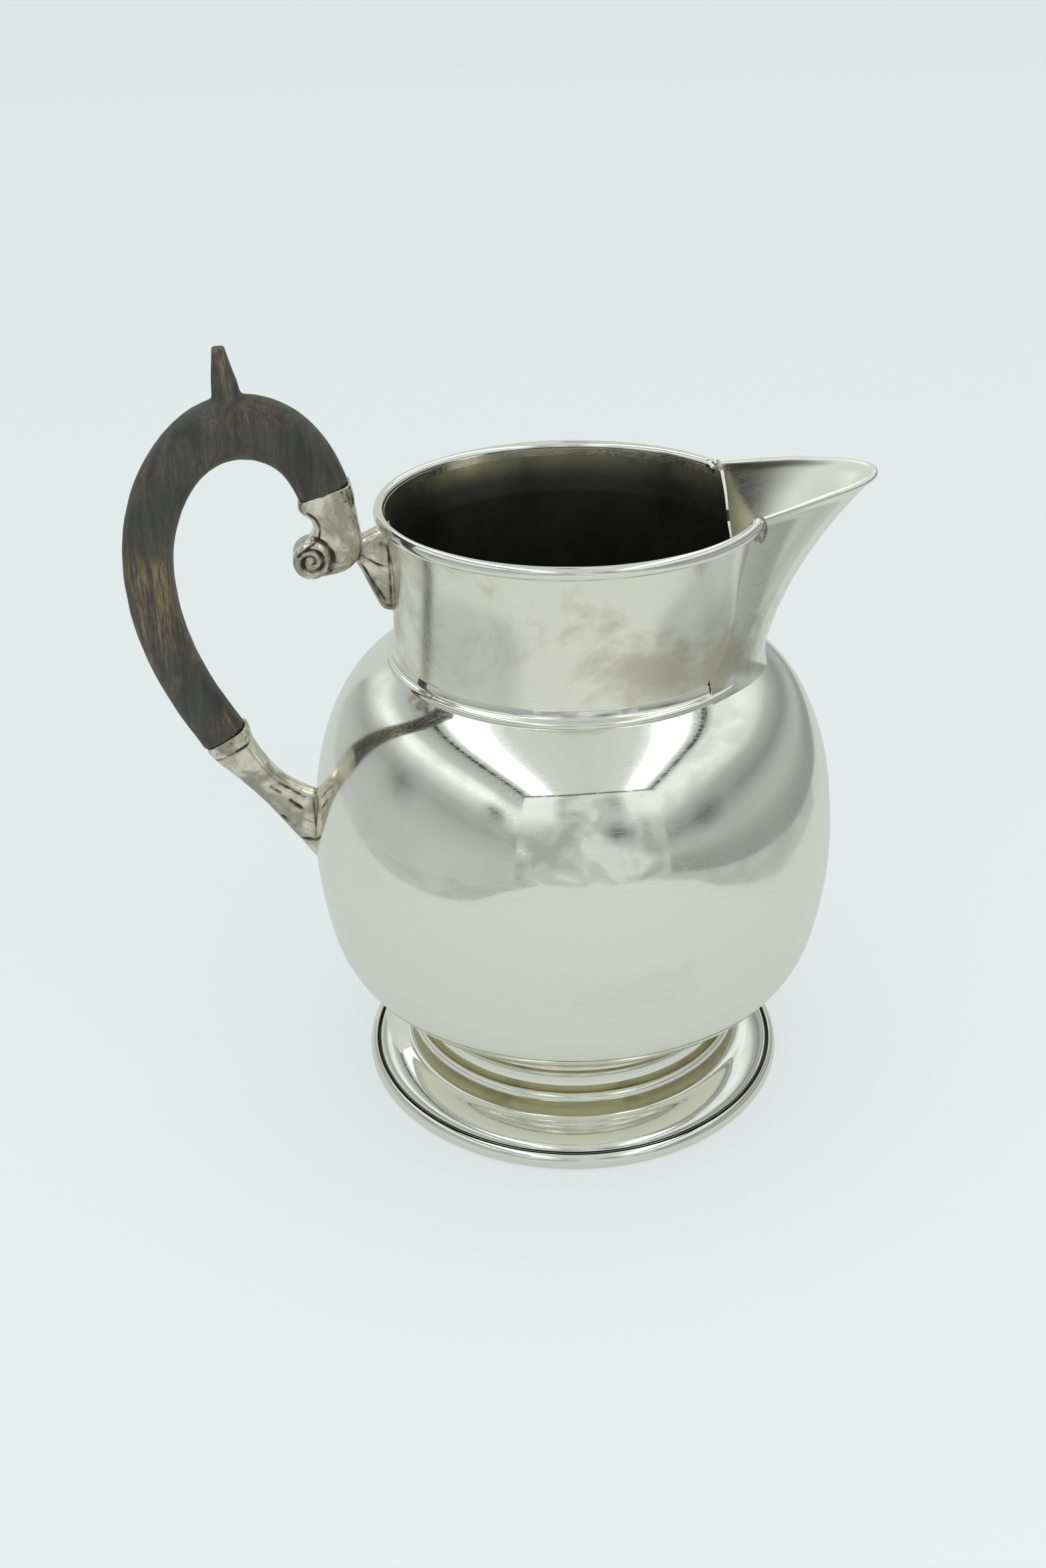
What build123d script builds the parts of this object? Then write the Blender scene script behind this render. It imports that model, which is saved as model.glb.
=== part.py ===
from build123d import *
import os
from math import sqrt

# A bulbous silver water pitcher with an applied spout, a stepped foot and a carved wooden handle.
# Frame: the foot stands on Z = 0 and the body's axis is Z. The spout points along +X, the handle
# along -X, and the pitcher is the same on both sides of the XZ plane. Millimetres throughout.

# ---- Driving dimensions -------------------------------------------------------------------------

SHEET = 1.2                     # thickness of the raised silver sheet

# Bowl: radius and height of the points that its outside passes through, from the centre of the
# bottom, round the belly, to the edge of the mouth under the neck.
BOWL_OUTSIDE = [(0, 24.0), (24, 25.0), (42, 27.9), (55.6, 32.3), (69.8, 44.5), (74.5, 60.3), (76.0, 76.0),
                (75.3, 90.4), (73.1, 105.4), (68.6, 118.4), (61.6, 129.2), (49.0, 138.0)]
MOUTH_R = 48.8                  # hole at the top of the bowl, and the inside of the neck

# Neck: a nearly upright band, slightly waisted, that flares a little under the rim.
NECK_OUTSIDE = [(49.8, 136.0), (49.6, 144.0), (49.4, 155.0), (49.7, 167.0), (51.6, 178.6)]
NECK_START_Z = 130.0            # the band is trimmed to the bowl, so it starts lower
NECK_INSIDE_TOP_R = 50.4

# Rim: a half-round wire over the top edge of the neck.
RIM_R = 51.93
RIM_Z = 178.6
RIM_HALF_WIDTH = 1.5
RIM_HALF_HEIGHT = 1.9
SPOUT_HALF_ANGLE = 28.5         # the rim wire stops this far each side of the spout's middle

# Moulded wire round the bottom of the neck: a hollow cove above a round bead.
NECK_WIRE_TOP = (49.9, 140.4)
NECK_WIRE_COVE = (50.6, 138.4)
NECK_WIRE_BEAD = (52.2, 137.1)
NECK_WIRE_FOOT = (51.6, 135.6)
NECK_WIRE_HALF_ANGLE = 33.0     # it stops where the skirt of the spout begins

# Spout: horizontal sections, each like a parabola, that grow forward towards the lip.
SPOUT_LEVELS = [128, 136, 144, 152, 160, 168, 176, 184, 190]
KEEL_START = (53.9, 138.0)      # radius and height where the keel leaves the shoulder
KEEL_SLOPE = 0.25
KEEL_BEND = 0.0090
SEAM_HALF_WIDTH = (29.0, 141.0)
SEAM_TAPER = 0.11
SPOUT_ROUNDNESS = 2.25          # 2 would be a parabola
SPOUT_SPREAD = 1.2              # the sections run on past the seam, into the neck
LIP_LINE = [(30, 180.4), (47, 180.7), (65.7, 183.2), (84.4, 184.4), (95, 184.8)]
NOTCH_LINE = [(0, 147), (11.0, 160.0), (17.5, 173.0), (22.5, 181.5)]

# Foot: a stepped ring of sheet on a heavy base wire, with a cove-shaped collar on top.
FOOT_R = 64.3
FOOT_WIRE_INNER_R = 60.2
FOOT_WIRE_CREST_R = 62.7
FOOT_WIRE_HEIGHT = 5.2
FOOT_LEDGE_Z = 4.3
DOME_SHEET = 1.1
DOME_EDGE_R = 61.2
TREAD_TOP = (57.2, 5.9)
OVOLO_TOP = (52.7, 9.9)
COVE_TOP = (50.5, 14.3)
BEAD_TOP = (48.7, 17.0)
DOME_TOP = (47.9, 18.4)
COLLAR_WAIST = (47.5, 21.0)
COLLAR_TOP = (48.8, 24.8)
COLLAR_SHEET = 1.2
TOP_WIRE = (48.9, 25.7)
TOP_WIRE_THICK = 0.9

# Handle: its middle line in the XZ plane, from the upper socket over the arch to the lower one,
# with the depth of the grip there (in the XZ plane) and its breadth (along Y).
GRIP = [
    ((-65.9, 185.9), 14.2, 11.0),
    ((-70.3, 195.4), 15.0, 12.4),
    ((-77.4, 202.0), 16.4, 14.0),
    ((-88.4, 204.2), 16.8, 15.0),
    ((-99.9, 199.0), 15.2, 15.2),
    ((-107.8, 189.1), 14.4, 15.0),
    ((-112.7, 176.2), 13.8, 14.6),
    ((-113.9, 162.0), 13.6, 14.2),
    ((-111.4, 144.9), 13.4, 13.4),
    ((-105.9, 129.8), 13.4, 12.2),
    ((-98.9, 116.3), 13.6, 11.0),
]
SPUR_BASE = (-88.5, 206.0)
SPUR_TIP = (-89.8, 225.0)
# Spur sizes: share of its length, then depth and breadth there.
SPUR_SIZES = [(0.0, 8.4, 8.0), (0.42, 7.4, 7.0), (0.75, 5.6, 5.4), (1.0, 3.0, 4.0)]
TENON_DEPTH = 9.0
TENON_BREADTH = 5.2
TENON_LENGTH = 9.0
PIN_R = 0.9

# Castings: outlines in the XZ plane, as x and z, and their breadth along Y at two heights.
SOCKET_BREADTH = 10.6           # at the collar, where the wood goes in
UPPER_TAPER = ((163.0, 8.4), (188.0, 10.6))
LOWER_TAPER = ((74.0, 6.0), (114.0, 10.6))
UPPER_STEM = [(-58.6, 188.5), (-57.9, 184.0), (-57.4, 180.0), (-56.6, 175.5), (-56.4, 170.5), (-58.6, 166.0),
              (-63.5, 163.4), (-70.0, 163.2), (-73.0, 168.0), (-70.6, 174.4), (-69.5, 178.0), (-71.0, 181.3),
              (-73.0, 184.5), (-73.6, 188.5), (-66.0, 191.0)]
SCROLL_CENTRE = (-70.7, 167.7)
SCROLL_R = 5.0
SCROLL_BREADTH = 9.8
LEAF_BREADTH = 7.2
UPPER_LEAF = [(-59.0, 174.0), (-55.8, 174.2), (-52.6, 175.6), (-48.0, 177.0), (-46.5, 165.0), (-48.0, 151.6),
              (-51.6, 152.2), (-54.8, 158.4), (-57.6, 163.8), (-60.5, 169.0)]
LOWER_ARM = [(-110.0, 117.0), (-105.2, 111.6), (-99.6, 107.6), (-95.2, 102.6), (-88.8, 93.4), (-82.0, 83.2),
             (-77.0, 76.2), (-73.0, 74.4), (-71.0, 84.0), (-72.0, 96.4), (-77.0, 98.8), (-81.4, 100.8),
             (-85.2, 104.6), (-88.4, 110.0), (-91.8, 116.0), (-92.8, 120.4), (-100.0, 124.0)]


def point(radius, height):
    """A point in the XZ plane, where a profile is drawn before it is turned about Z."""
    return Vector(radius, 0, height)


def points(pairs):
    return [point(radius, height) for radius, height in pairs]


def spin(edges, sweep=360.0, start=0.0):
    """A closed profile turned about Z through an angle, from a starting angle."""
    solid = revolve(make_face(edges), axis=Axis.Z, revolution_arc=sweep)
    return Rot(0, 0, start) * solid


def inset(pairs, distance):
    """The same line moved sideways, to the left of its direction of travel."""
    moved = []
    for index, (radius, height) in enumerate(pairs):
        before = pairs[max(index - 1, 0)]
        after = pairs[min(index + 1, len(pairs) - 1)]
        along_r = after[0] - before[0]
        along_z = after[1] - before[1]
        length = sqrt(along_r ** 2 + along_z ** 2)
        moved.append((radius - distance * along_z / length, height + distance * along_r / length))
    return moved


# ---- Bowl, neck and rim -------------------------------------------------------------------------

def bowl_form():
    """The bowl as if it were solid, for trimming what is fitted to it."""
    outside = Spline(*points(BOWL_OUTSIDE), tangents=[(1, 0, 0), (-0.78, 0, 0.5)])
    top_r, top_z = BOWL_OUTSIDE[-1]
    return spin([outside, Line(point(top_r, top_z), point(0, top_z)), Line(point(0, top_z), outside @ 0)])


def body_bowl():
    inside_pairs = inset(BOWL_OUTSIDE, SHEET)
    inside_pairs[0] = (0, BOWL_OUTSIDE[0][1] + SHEET)
    inside_pairs[-1] = (BOWL_OUTSIDE[-1][0] - 0.8, BOWL_OUTSIDE[-1][1] - SHEET)
    inside = Spline(*points(inside_pairs), tangents=[(1, 0, 0), (-0.78, 0, 0.5)])
    end = inside @ 1
    top = BOWL_OUTSIDE[-1][1] + 1
    hollow = spin([inside, Polyline(end, point(end.X, top), point(0, top), inside @ 0)])
    mouth = Pos(0, 0, top) * Cylinder(MOUTH_R, 12)
    return bowl_form() - hollow - mouth


def neck_form():
    """The neck as if it were solid, down into the bowl."""
    outside = Spline(*points(NECK_OUTSIDE))
    foot_r, foot_z = NECK_OUTSIDE[0]
    top_z = NECK_OUTSIDE[-1][1]
    lower = Polyline(point(0, top_z), point(0, NECK_START_Z), point(foot_r, NECK_START_Z), outside @ 0)
    return spin([outside, Line(outside @ 1, point(0, top_z)), lower])


def neck_band(bowl):
    straight_top = point(MOUTH_R, NECK_OUTSIDE[-2][1])
    flare = Line(straight_top, point(NECK_INSIDE_TOP_R, RIM_Z))
    upright = Line(point(MOUTH_R, NECK_START_Z), straight_top)
    top = Polyline(point(NECK_INSIDE_TOP_R, RIM_Z), point(0, RIM_Z), point(0, NECK_START_Z))
    base = Line(point(0, NECK_START_Z), point(MOUTH_R, NECK_START_Z))
    bore = spin([upright, flare, top, base])
    left_side = [(-width, height) for width, height in reversed(NOTCH_LINE[1:])]
    outline = [Vector(0, width, height) for width, height in left_side + NOTCH_LINE]
    notch_face = make_face([Spline(*outline), Line(outline[-1], outline[0])])
    notch = extrude(notch_face, amount=70, dir=(1, 0, 0))
    return neck_form() - bore - bowl - notch


def rim_wire(neck):
    section = Plane(origin=point(RIM_R, RIM_Z), x_dir=(1, 0, 0), z_dir=(0, -1, 0))
    profile = section * Ellipse(RIM_HALF_WIDTH, RIM_HALF_HEIGHT)
    ring = revolve(profile, axis=Axis.Z, revolution_arc=360 - 2 * SPOUT_HALF_ANGLE)
    return Rot(0, 0, SPOUT_HALF_ANGLE) * ring - neck


def neck_wire(neck, bowl):
    cove = Spline(point(*NECK_WIRE_TOP), point(*NECK_WIRE_COVE), point(*NECK_WIRE_BEAD), point(*NECK_WIRE_FOOT),
                  tangents=[(0, 0, -1), (-1, 0, -0.4)])
    behind = NECK_WIRE_TOP[0] - 2
    back = Polyline(cove @ 1, point(NECK_WIRE_FOOT[0], NECK_START_Z), point(behind, NECK_START_Z),
                    point(behind, NECK_WIRE_TOP[1]), cove @ 0)
    sweep = 360 - 2 * NECK_WIRE_HALF_ANGLE
    return spin([cove, back], sweep, NECK_WIRE_HALF_ANGLE) - neck - bowl


# ---- Spout --------------------------------------------------------------------------------------

def spout_section(height, thickness):
    """One level of the spout: x = keel - (keel - seam) * (|y| / half width) ** roundness."""
    rise = height - KEEL_START[1]
    keel = KEEL_START[0] + KEEL_SLOPE * rise + KEEL_BEND * max(rise, 0) * rise
    half_width = SEAM_HALF_WIDTH[0] - SEAM_TAPER * (height - SEAM_HALF_WIDTH[1])
    seam = sqrt(max(NECK_OUTSIDE[-1][0] ** 2 - half_width ** 2, 1))
    slope = KEEL_SLOPE + 2 * KEEL_BEND * max(rise, 0)
    keel -= thickness * sqrt(1 + slope ** 2)
    seam -= thickness * 1.2
    steps = 12
    outline = []
    for step in range(steps + 1):
        share = SPOUT_SPREAD * (2 * step / steps - 1)
        x = keel - (keel - seam) * abs(share) ** SPOUT_ROUNDNESS
        outline.append(Vector(x, share * (half_width - thickness), height))
    return make_face([Spline(*outline), Line(outline[-1], outline[0])])


def spout(neck, bowl, rim, base_wire):
    outer = loft([spout_section(height, 0) for height in SPOUT_LEVELS])
    inner = loft([spout_section(height, SHEET) for height in SPOUT_LEVELS])
    lip = [Vector(x, -60, z) for x, z in LIP_LINE]
    over = Polyline(lip[-1], Vector(lip[-1].X, -60, 200), Vector(lip[0].X, -60, 200), lip[0])
    above_lip = extrude(make_face([Spline(*lip), over]), amount=120, dir=(0, 1, 0))
    shell = outer - inner - above_lip - neck - bowl - rim - base_wire
    inside_neck = Pos(0, 0, 160) * Cylinder(NECK_INSIDE_TOP_R, 80)
    return shell - inside_neck


# ---- Foot ---------------------------------------------------------------------------------------

def foot_rim_wire():
    """A round-topped base wire with a ledge inside it for the dome, and a fine groove between."""
    middle = FOOT_WIRE_HEIGHT / 2
    crest = point(FOOT_WIRE_CREST_R, FOOT_WIRE_HEIGHT)
    flat_end = point(FOOT_WIRE_CREST_R, 0)
    round_side = ThreePointArc(flat_end, point(FOOT_R, middle), crest)
    shoulder = ThreePointArc(crest, point(DOME_EDGE_R + 1.0, FOOT_WIRE_HEIGHT - 0.35),
                             point(DOME_EDGE_R + 0.7, FOOT_LEDGE_Z - 0.6))
    ledge = Polyline(shoulder @ 1, point(DOME_EDGE_R, FOOT_LEDGE_Z - 0.6), point(DOME_EDGE_R, FOOT_LEDGE_Z),
                     point(FOOT_WIRE_INNER_R, FOOT_LEDGE_Z), point(FOOT_WIRE_INNER_R, 0), flat_end)
    return spin([round_side, shoulder, ledge])


def foot_dome():
    """The stepped ring: a flat tread, a quarter-round ovolo, a cove and a half-round bead."""
    tread_r, tread_z = TREAD_TOP
    ovolo_r, ovolo_z = OVOLO_TOP
    cove_r, cove_z = COVE_TOP
    bead_r, bead_z = BEAD_TOP
    top_r, top_z = DOME_TOP
    edge_z = FOOT_LEDGE_Z + DOME_SHEET
    tread = Line(point(DOME_EDGE_R, edge_z), point(tread_r, tread_z))
    ovolo = ThreePointArc(tread @ 1, point(tread_r - 0.9, tread_z + 2.9), point(ovolo_r, ovolo_z))
    cove = ThreePointArc(ovolo @ 1, point(cove_r + 0.3, cove_z - 2.1), point(cove_r, cove_z))
    bead = ThreePointArc(cove @ 1, point(cove_r + 0.4, cove_z + 1.4), point(bead_r, bead_z))
    groove = Line(bead @ 1, point(top_r, top_z))
    inner_r = top_r - DOME_SHEET
    inner_top = Polyline(groove @ 1, point(inner_r, top_z), point(inner_r, bead_z),
                         point(cove_r - DOME_SHEET, cove_z))
    inner_cove = ThreePointArc(inner_top @ 1, point(cove_r - DOME_SHEET + 0.4, cove_z - 2.8),
                               point(ovolo_r - 0.9, ovolo_z - DOME_SHEET))
    inner_ovolo = ThreePointArc(inner_cove @ 1, point(tread_r - 2.0, tread_z + 2.0),
                                point(tread_r - 1.4, FOOT_LEDGE_Z))
    underside = Polyline(inner_ovolo @ 1, point(DOME_EDGE_R, FOOT_LEDGE_Z), tread @ 0)
    return spin([tread, ovolo, cove, bead, groove, inner_top, inner_cove, inner_ovolo, underside])


def foot_collar(bowl):
    low_r, low_z = DOME_TOP
    waist_r, waist_z = COLLAR_WAIST
    high_r, high_z = COLLAR_TOP
    outside = ThreePointArc(point(low_r, low_z), point(waist_r, waist_z), point(high_r, high_z))
    inner_r = waist_r - COLLAR_SHEET
    top_z = high_z + 6
    rest = Polyline(outside @ 1, point(high_r - 0.4, top_z), point(inner_r, top_z),
                    point(inner_r, low_z), outside @ 0)
    return spin([outside, rest]) - bowl


def foot_top_wire(collar, bowl):
    section = Plane(origin=point(*TOP_WIRE), x_dir=(1, 0, 0), z_dir=(0, -1, 0))
    return revolve(section * Circle(TOP_WIRE_THICK), axis=Axis.Z) - collar - bowl


# ---- Handle -------------------------------------------------------------------------------------

def across(origin, direction):
    """A plane across the handle, with its x along the depth and its y along Y."""
    return Plane(origin=origin, x_dir=Vector(0, 1, 0).cross(direction), z_dir=direction)


def grip_line():
    return Spline(*points([middle for middle, depth, breadth in GRIP]))


def oval(depth, breadth):
    """A rounded section of the handle: an ellipse with its broad sides a little flattened."""
    return RectangleRounded(depth, breadth, breadth * 0.42)


def tenon(middle, direction):
    section = across(middle, direction) * RectangleRounded(TENON_DEPTH, TENON_BREADTH, 1.5)
    return extrude(section, amount=TENON_LENGTH, dir=direction)


def handle_wood():
    line = grip_line()
    sections = []
    for middle, depth, breadth in GRIP:
        at = point(*middle)
        direction = line % line.param_at_point(at)
        sections.append(across(at, direction) * oval(depth, breadth))
    grip = loft(sections)
    spur_sections = []
    for share, depth, breadth in SPUR_SIZES:
        x = SPUR_BASE[0] + share * (SPUR_TIP[0] - SPUR_BASE[0])
        z = SPUR_BASE[1] + share * (SPUR_TIP[1] - SPUR_BASE[1])
        spur_sections.append(Pos(x, 0, z) * RectangleRounded(depth, breadth, 1.4))
    spur = loft(spur_sections)
    upper = tenon(line @ 0, -(line % 0))
    lower = tenon(line @ 1, line % 1)
    return grip + spur + upper + lower


def xz_plate(pairs, breadth):
    """A casting of one breadth along Y, with a smooth closed outline in the XZ plane."""
    at = [Vector(x, -breadth / 2, z) for x, z in pairs]
    outline = Spline(*at, periodic=True)
    return extrude(make_face([outline]), amount=breadth, dir=(0, 1, 0))


def side_taper(low, high):
    """A long wedge along X whose breadth changes evenly with height, to trim a casting's sides."""
    slope = (high[1] - low[1]) / (high[0] - low[0]) / 2
    bottom = low[1] / 2 - 10 * slope
    top = high[1] / 2 + 10 * slope
    corners = [(-bottom, low[0] - 10), (bottom, low[0] - 10), (top, high[0] + 10), (-top, high[0] + 10)]
    outline = Polyline(*[Vector(-140, y, z) for y, z in corners], close=True)
    return extrude(make_face(outline), amount=120, dir=(1, 0, 0))


def below_wood(middle, direction):
    """A large block that starts at the wood's end and goes the way the tenon goes."""
    return extrude(across(middle, direction) * Rectangle(60, 60), amount=60, dir=direction)


def pin(middle, direction):
    """The bar of a cross pin, through the middle of a tenon."""
    at = middle + direction * (TENON_LENGTH / 2)
    return extrude(Plane(origin=at, z_dir=(0, 1, 0)) * Circle(PIN_R), amount=20, both=True)


def upper_socket(line, wood_end, pin_bar):
    """A cup for the tenon on a short curved stem that ends in a scroll."""
    direction = -(line % 0)
    stem = xz_plate(UPPER_STEM, SOCKET_BREADTH) & below_wood(line @ 0, direction) & side_taper(*UPPER_TAPER)
    centre = Vector(SCROLL_CENTRE[0], 0, SCROLL_CENTRE[1])
    scroll = extrude(Plane(origin=centre, z_dir=(0, 1, 0)) * Circle(SCROLL_R), amount=SCROLL_BREADTH / 2, both=True)
    return stem + scroll - wood_end - pin_bar


def upper_leaf(socket, neck, rim, pin_bar):
    """The leaf-shaped bracket that joins the scroll socket to the neck."""
    bracket = xz_plate(UPPER_LEAF, LEAF_BREADTH) - socket - neck - rim - pin_bar
    return bracket.solids().sort_by(SortBy.VOLUME)[-1]


def lower_socket(line, wood_end, bowl, pin_bar):
    """A cup for the lower tenon that runs down into a pointed leaf on the belly."""
    arm = xz_plate(LOWER_ARM, SOCKET_BREADTH) & below_wood(line @ 1, line % 1) & side_taper(*LOWER_TAPER)
    return arm - wood_end - bowl - pin_bar


def put_together():
    """Every piece of the pitcher by name."""
    bowl = bowl_form()
    neck = neck_form()
    line = grip_line()
    wood = handle_wood()
    upper_bar = pin(line @ 0, -(line % 0))
    lower_bar = pin(line @ 1, line % 1)
    rim = rim_wire(neck)
    base_wire = neck_wire(neck, bowl)
    collar = foot_collar(bowl)
    socket_above = upper_socket(line, wood, upper_bar)
    socket_below = lower_socket(line, wood, bowl, lower_bar)
    cheeks = Pos(-80, 0, 150) * Box(200, SOCKET_BREADTH, 200)
    return {
        "body_bowl": body_bowl(),
        "neck_band": neck_band(bowl),
        "neck_wire": base_wire,
        "rim_wire": rim,
        "spout": spout(neck, bowl, rim, base_wire),
        "foot_top_wire": foot_top_wire(collar, bowl),
        "foot_collar": collar,
        "foot_dome": foot_dome(),
        "foot_rim_wire": foot_rim_wire(),
        "handle_wood": wood - upper_bar - lower_bar,
        "upper_socket": socket_above,
        "upper_leaf": upper_leaf(socket_above, neck, rim, upper_bar),
        "lower_socket": socket_below,
        "upper_pin": upper_bar & cheeks,
        "lower_pin": lower_bar & cheeks,
    }


if __name__ == "__main__":
    os.makedirs("parts", exist_ok=True)
    for name, solid in put_together().items():
        solid.label = name
        export_step(solid, f"parts/{name}.step")
        print(name, "solids", len(solid.solids()), "volume", round(solid.volume, 1), "valid", solid.is_valid)
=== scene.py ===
# %% [markdown]
# A silver water pitcher with a wooden handle, as a lesson in turning numbers into surfaces.
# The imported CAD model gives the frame: its axis is Z, the spout points along +X and the handle along -X.
# Every piece made here takes the place of one CAD node, in the same metres, so nothing is fitted by eye.

# %% The frame
import bmesh
import bpy
import math
import numpy as np
from mathutils import Matrix, Vector


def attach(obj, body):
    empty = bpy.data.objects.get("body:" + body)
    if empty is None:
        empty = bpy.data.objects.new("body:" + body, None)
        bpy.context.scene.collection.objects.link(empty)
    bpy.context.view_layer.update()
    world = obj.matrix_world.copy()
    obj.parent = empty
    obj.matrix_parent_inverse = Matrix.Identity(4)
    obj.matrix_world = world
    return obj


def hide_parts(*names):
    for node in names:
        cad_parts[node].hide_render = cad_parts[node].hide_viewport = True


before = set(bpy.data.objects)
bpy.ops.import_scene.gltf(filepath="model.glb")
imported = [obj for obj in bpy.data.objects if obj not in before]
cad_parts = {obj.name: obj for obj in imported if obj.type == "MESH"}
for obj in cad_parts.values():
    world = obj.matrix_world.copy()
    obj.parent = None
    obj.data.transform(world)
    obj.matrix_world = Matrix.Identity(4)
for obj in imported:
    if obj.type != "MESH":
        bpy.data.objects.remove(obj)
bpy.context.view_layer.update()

# %% [markdown]
# Silversmiths think in millimetres, and so does this script until a shape becomes a mesh.
# Three helpers carry the whole pitcher: a smooth curve through a few points, a mesh made of closed
# rings, and a noise that is the same on every run.
# Rings are used because nearly every piece is either turned about the axis or drawn along a path.

# %% A smooth curve through points
MM = 0.001


def smooth_curve(pairs, count, mirrored=False):
    """Cubic spline through the points: its slope and bending agree on both sides of every point.

    The parameter is the distance between the points, and the second derivatives come from one small
    system of linear equations. A mirrored curve is level where it starts, on the axis.
    """
    base = np.array(pairs, float)
    pts = np.concatenate([base[:0:-1] * [-1.0, 1.0], base]) if mirrored else base
    knots = np.concatenate([[0.0], np.cumsum(np.linalg.norm(np.diff(pts, axis=0), axis=1))])
    gaps = np.diff(knots)
    size = len(pts)
    system = np.eye(size)
    right = np.zeros(pts.shape)
    inner = np.arange(1, size - 1)
    system[inner, inner - 1] = gaps[:-1]
    system[inner, inner] = 2 * (gaps[:-1] + gaps[1:])
    system[inner, inner + 1] = gaps[1:]
    slopes = np.diff(pts, axis=0) / gaps[:, None]
    right[1:-1] = 6 * (slopes[1:] - slopes[:-1])
    bend = np.linalg.solve(system, right)
    start = knots[len(base) - 1] if mirrored else 0.0
    at = np.linspace(start, knots[-1], count)
    cell = np.clip(np.searchsorted(knots, at, side="right") - 1, 0, size - 2)
    gap = gaps[cell][:, None]
    b = ((at - knots[cell]) / gaps[cell])[:, None]
    a = 1 - b
    cubic = (a ** 3 - a) * bend[cell] + (b ** 3 - b) * bend[cell + 1]
    return a * pts[cell] + b * pts[cell + 1] + cubic * gap ** 2 / 6


def arc_through(first, middle, last, count):
    """Circle through three points: its centre is equally far from all three, and the angle runs evenly."""
    a, b, c = (np.array(p, float) for p in (first, middle, last))
    system = 2 * np.array([b - a, c - a])
    centre = np.linalg.solve(system, [b @ b - a @ a, c @ c - a @ a])
    radius = np.linalg.norm(a - centre)
    angles = [math.atan2(*(p - centre)[::-1]) for p in (a, b, c)]
    sweep = (angles[2] - angles[0]) % math.tau
    if (angles[1] - angles[0]) % math.tau > sweep:
        sweep -= math.tau
    turn = angles[0] + sweep * np.linspace(0, 1, count)
    return centre + radius * np.stack([np.cos(turn), np.sin(turn)], -1)


def straight(first, last, count):
    """Points spaced evenly on a line."""
    share = np.linspace(0, 1, count)[:, None]
    return np.array(first, float) * (1 - share) + np.array(last, float) * share


print("curve helpers ready; a test arc has", len(arc_through((0, 0), (1, 1), (2, 0), 9)), "points")

# %% A mesh made of closed rings
def finish_mesh(name, verts, faces, nodes, sharp_angle=40.0):
    """Makes the object, turns its faces outwards by the sign of its volume, and registers it."""
    mesh = bpy.data.meshes.new(name)
    mesh.from_pydata((np.asarray(verts) * MM).tolist(), [], faces)
    form = bmesh.new()
    form.from_mesh(mesh)
    if form.calc_volume(signed=True) < 0:
        bmesh.ops.reverse_faces(form, faces=form.faces)
    form.to_mesh(mesh)
    form.free()
    mesh.shade_smooth()
    mesh.set_sharp_from_angle(angle=math.radians(sharp_angle))
    piece = bpy.data.objects.new(name, mesh)
    bpy.context.scene.collection.objects.link(piece)
    if nodes:
        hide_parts(*nodes)
    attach(piece, "root")
    print(f"{name}: {len(mesh.vertices)} points, {len(mesh.polygons)} faces")
    return piece


def ring_faces(rings, points, wrap):
    """Quads between neighbouring rings: ring i point j, j+1, then ring i+1 point j+1, j."""
    row = np.arange(rings if wrap else rings - 1)[:, None]
    col = np.arange(points)[None, :]
    nxt = (row + 1) % rings
    side = (col + 1) % points
    quads = np.stack([row * points + col, row * points + side, nxt * points + side, nxt * points + col], -1)
    return quads.reshape(-1, 4)


def ring_solid(rings, wrap=False, ends="fan"):
    """Vertices and faces of a solid whose skin is a stack of closed rings, an array (ring, point, xyz).

    A wrapped stack joins its last ring to its first. Open ends close with a fan round the middle of the
    ring, or with a strip that joins point i to its partner, counted from the other end.
    """
    count, points = rings.shape[:2]
    verts = rings.reshape(-1, 3)
    faces = ring_faces(count, points, wrap).tolist()
    if wrap:
        return verts, faces
    if ends == "fan":
        middles = rings[[0, -1]].mean(1)
        verts = np.concatenate([verts, middles])
        for end, start in ((0, 0), (1, (count - 1) * points)):
            here = start + np.arange(points)
            after = start + (np.arange(points) + 1) % points
            hub = np.full(points, count * points + end)
            fan = np.stack([hub, after, here] if end == 0 else [hub, here, after], -1)
            faces += fan.tolist()
    else:
        half = np.arange(points // 2 - 1)
        for start, order in ((0, 1), ((count - 1) * points, -1)):
            strip = np.stack([half, points - 1 - half, points - 2 - half, half + 1], -1) + start
            faces += strip[:, ::order].tolist()
    return verts, faces


def turned(profile, start=0.0, sweep=360.0, steps=288):
    """A closed profile of (radius, height) carried round Z: x = r cos a, y = r sin a."""
    whole = sweep >= 360.0
    angle = np.radians(start + sweep * np.linspace(0, 1, steps, endpoint=not whole))
    radius, height = profile[:, 0], profile[:, 1]
    rings = np.stack([np.outer(np.cos(angle), radius), np.outer(np.sin(angle), radius),
                      np.broadcast_to(height, (len(angle), len(height)))], -1)
    return ring_solid(rings, wrap=whole)


print("ring helpers ready")

# %% A noise that repeats
def lattice_noise(points, size, seed):
    """Random values at the corners of cubes of that size, blended smoothly to each point between them."""
    rng = np.random.default_rng(seed)
    table = rng.random(4096) * 2 - 1
    cell = np.asarray(points) / size
    low = np.floor(cell).astype(np.int64)
    part = cell - low
    part = part * part * (3 - 2 * part)
    total = np.zeros(len(cell))
    for corner in np.ndindex(2, 2, 2):
        at = low + np.array(corner)
        key = (at[:, 0] * 73856093 ^ at[:, 1] * 19349663 ^ at[:, 2] * 83492791) % 4096
        weight = np.prod(np.where(np.array(corner) == 1, part, 1 - part), axis=1)
        total += weight * table[key]
    return total


print("noise at the origin:", round(float(lattice_noise(np.zeros((1, 3)), 1.0, 7)[0]), 4))

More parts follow.
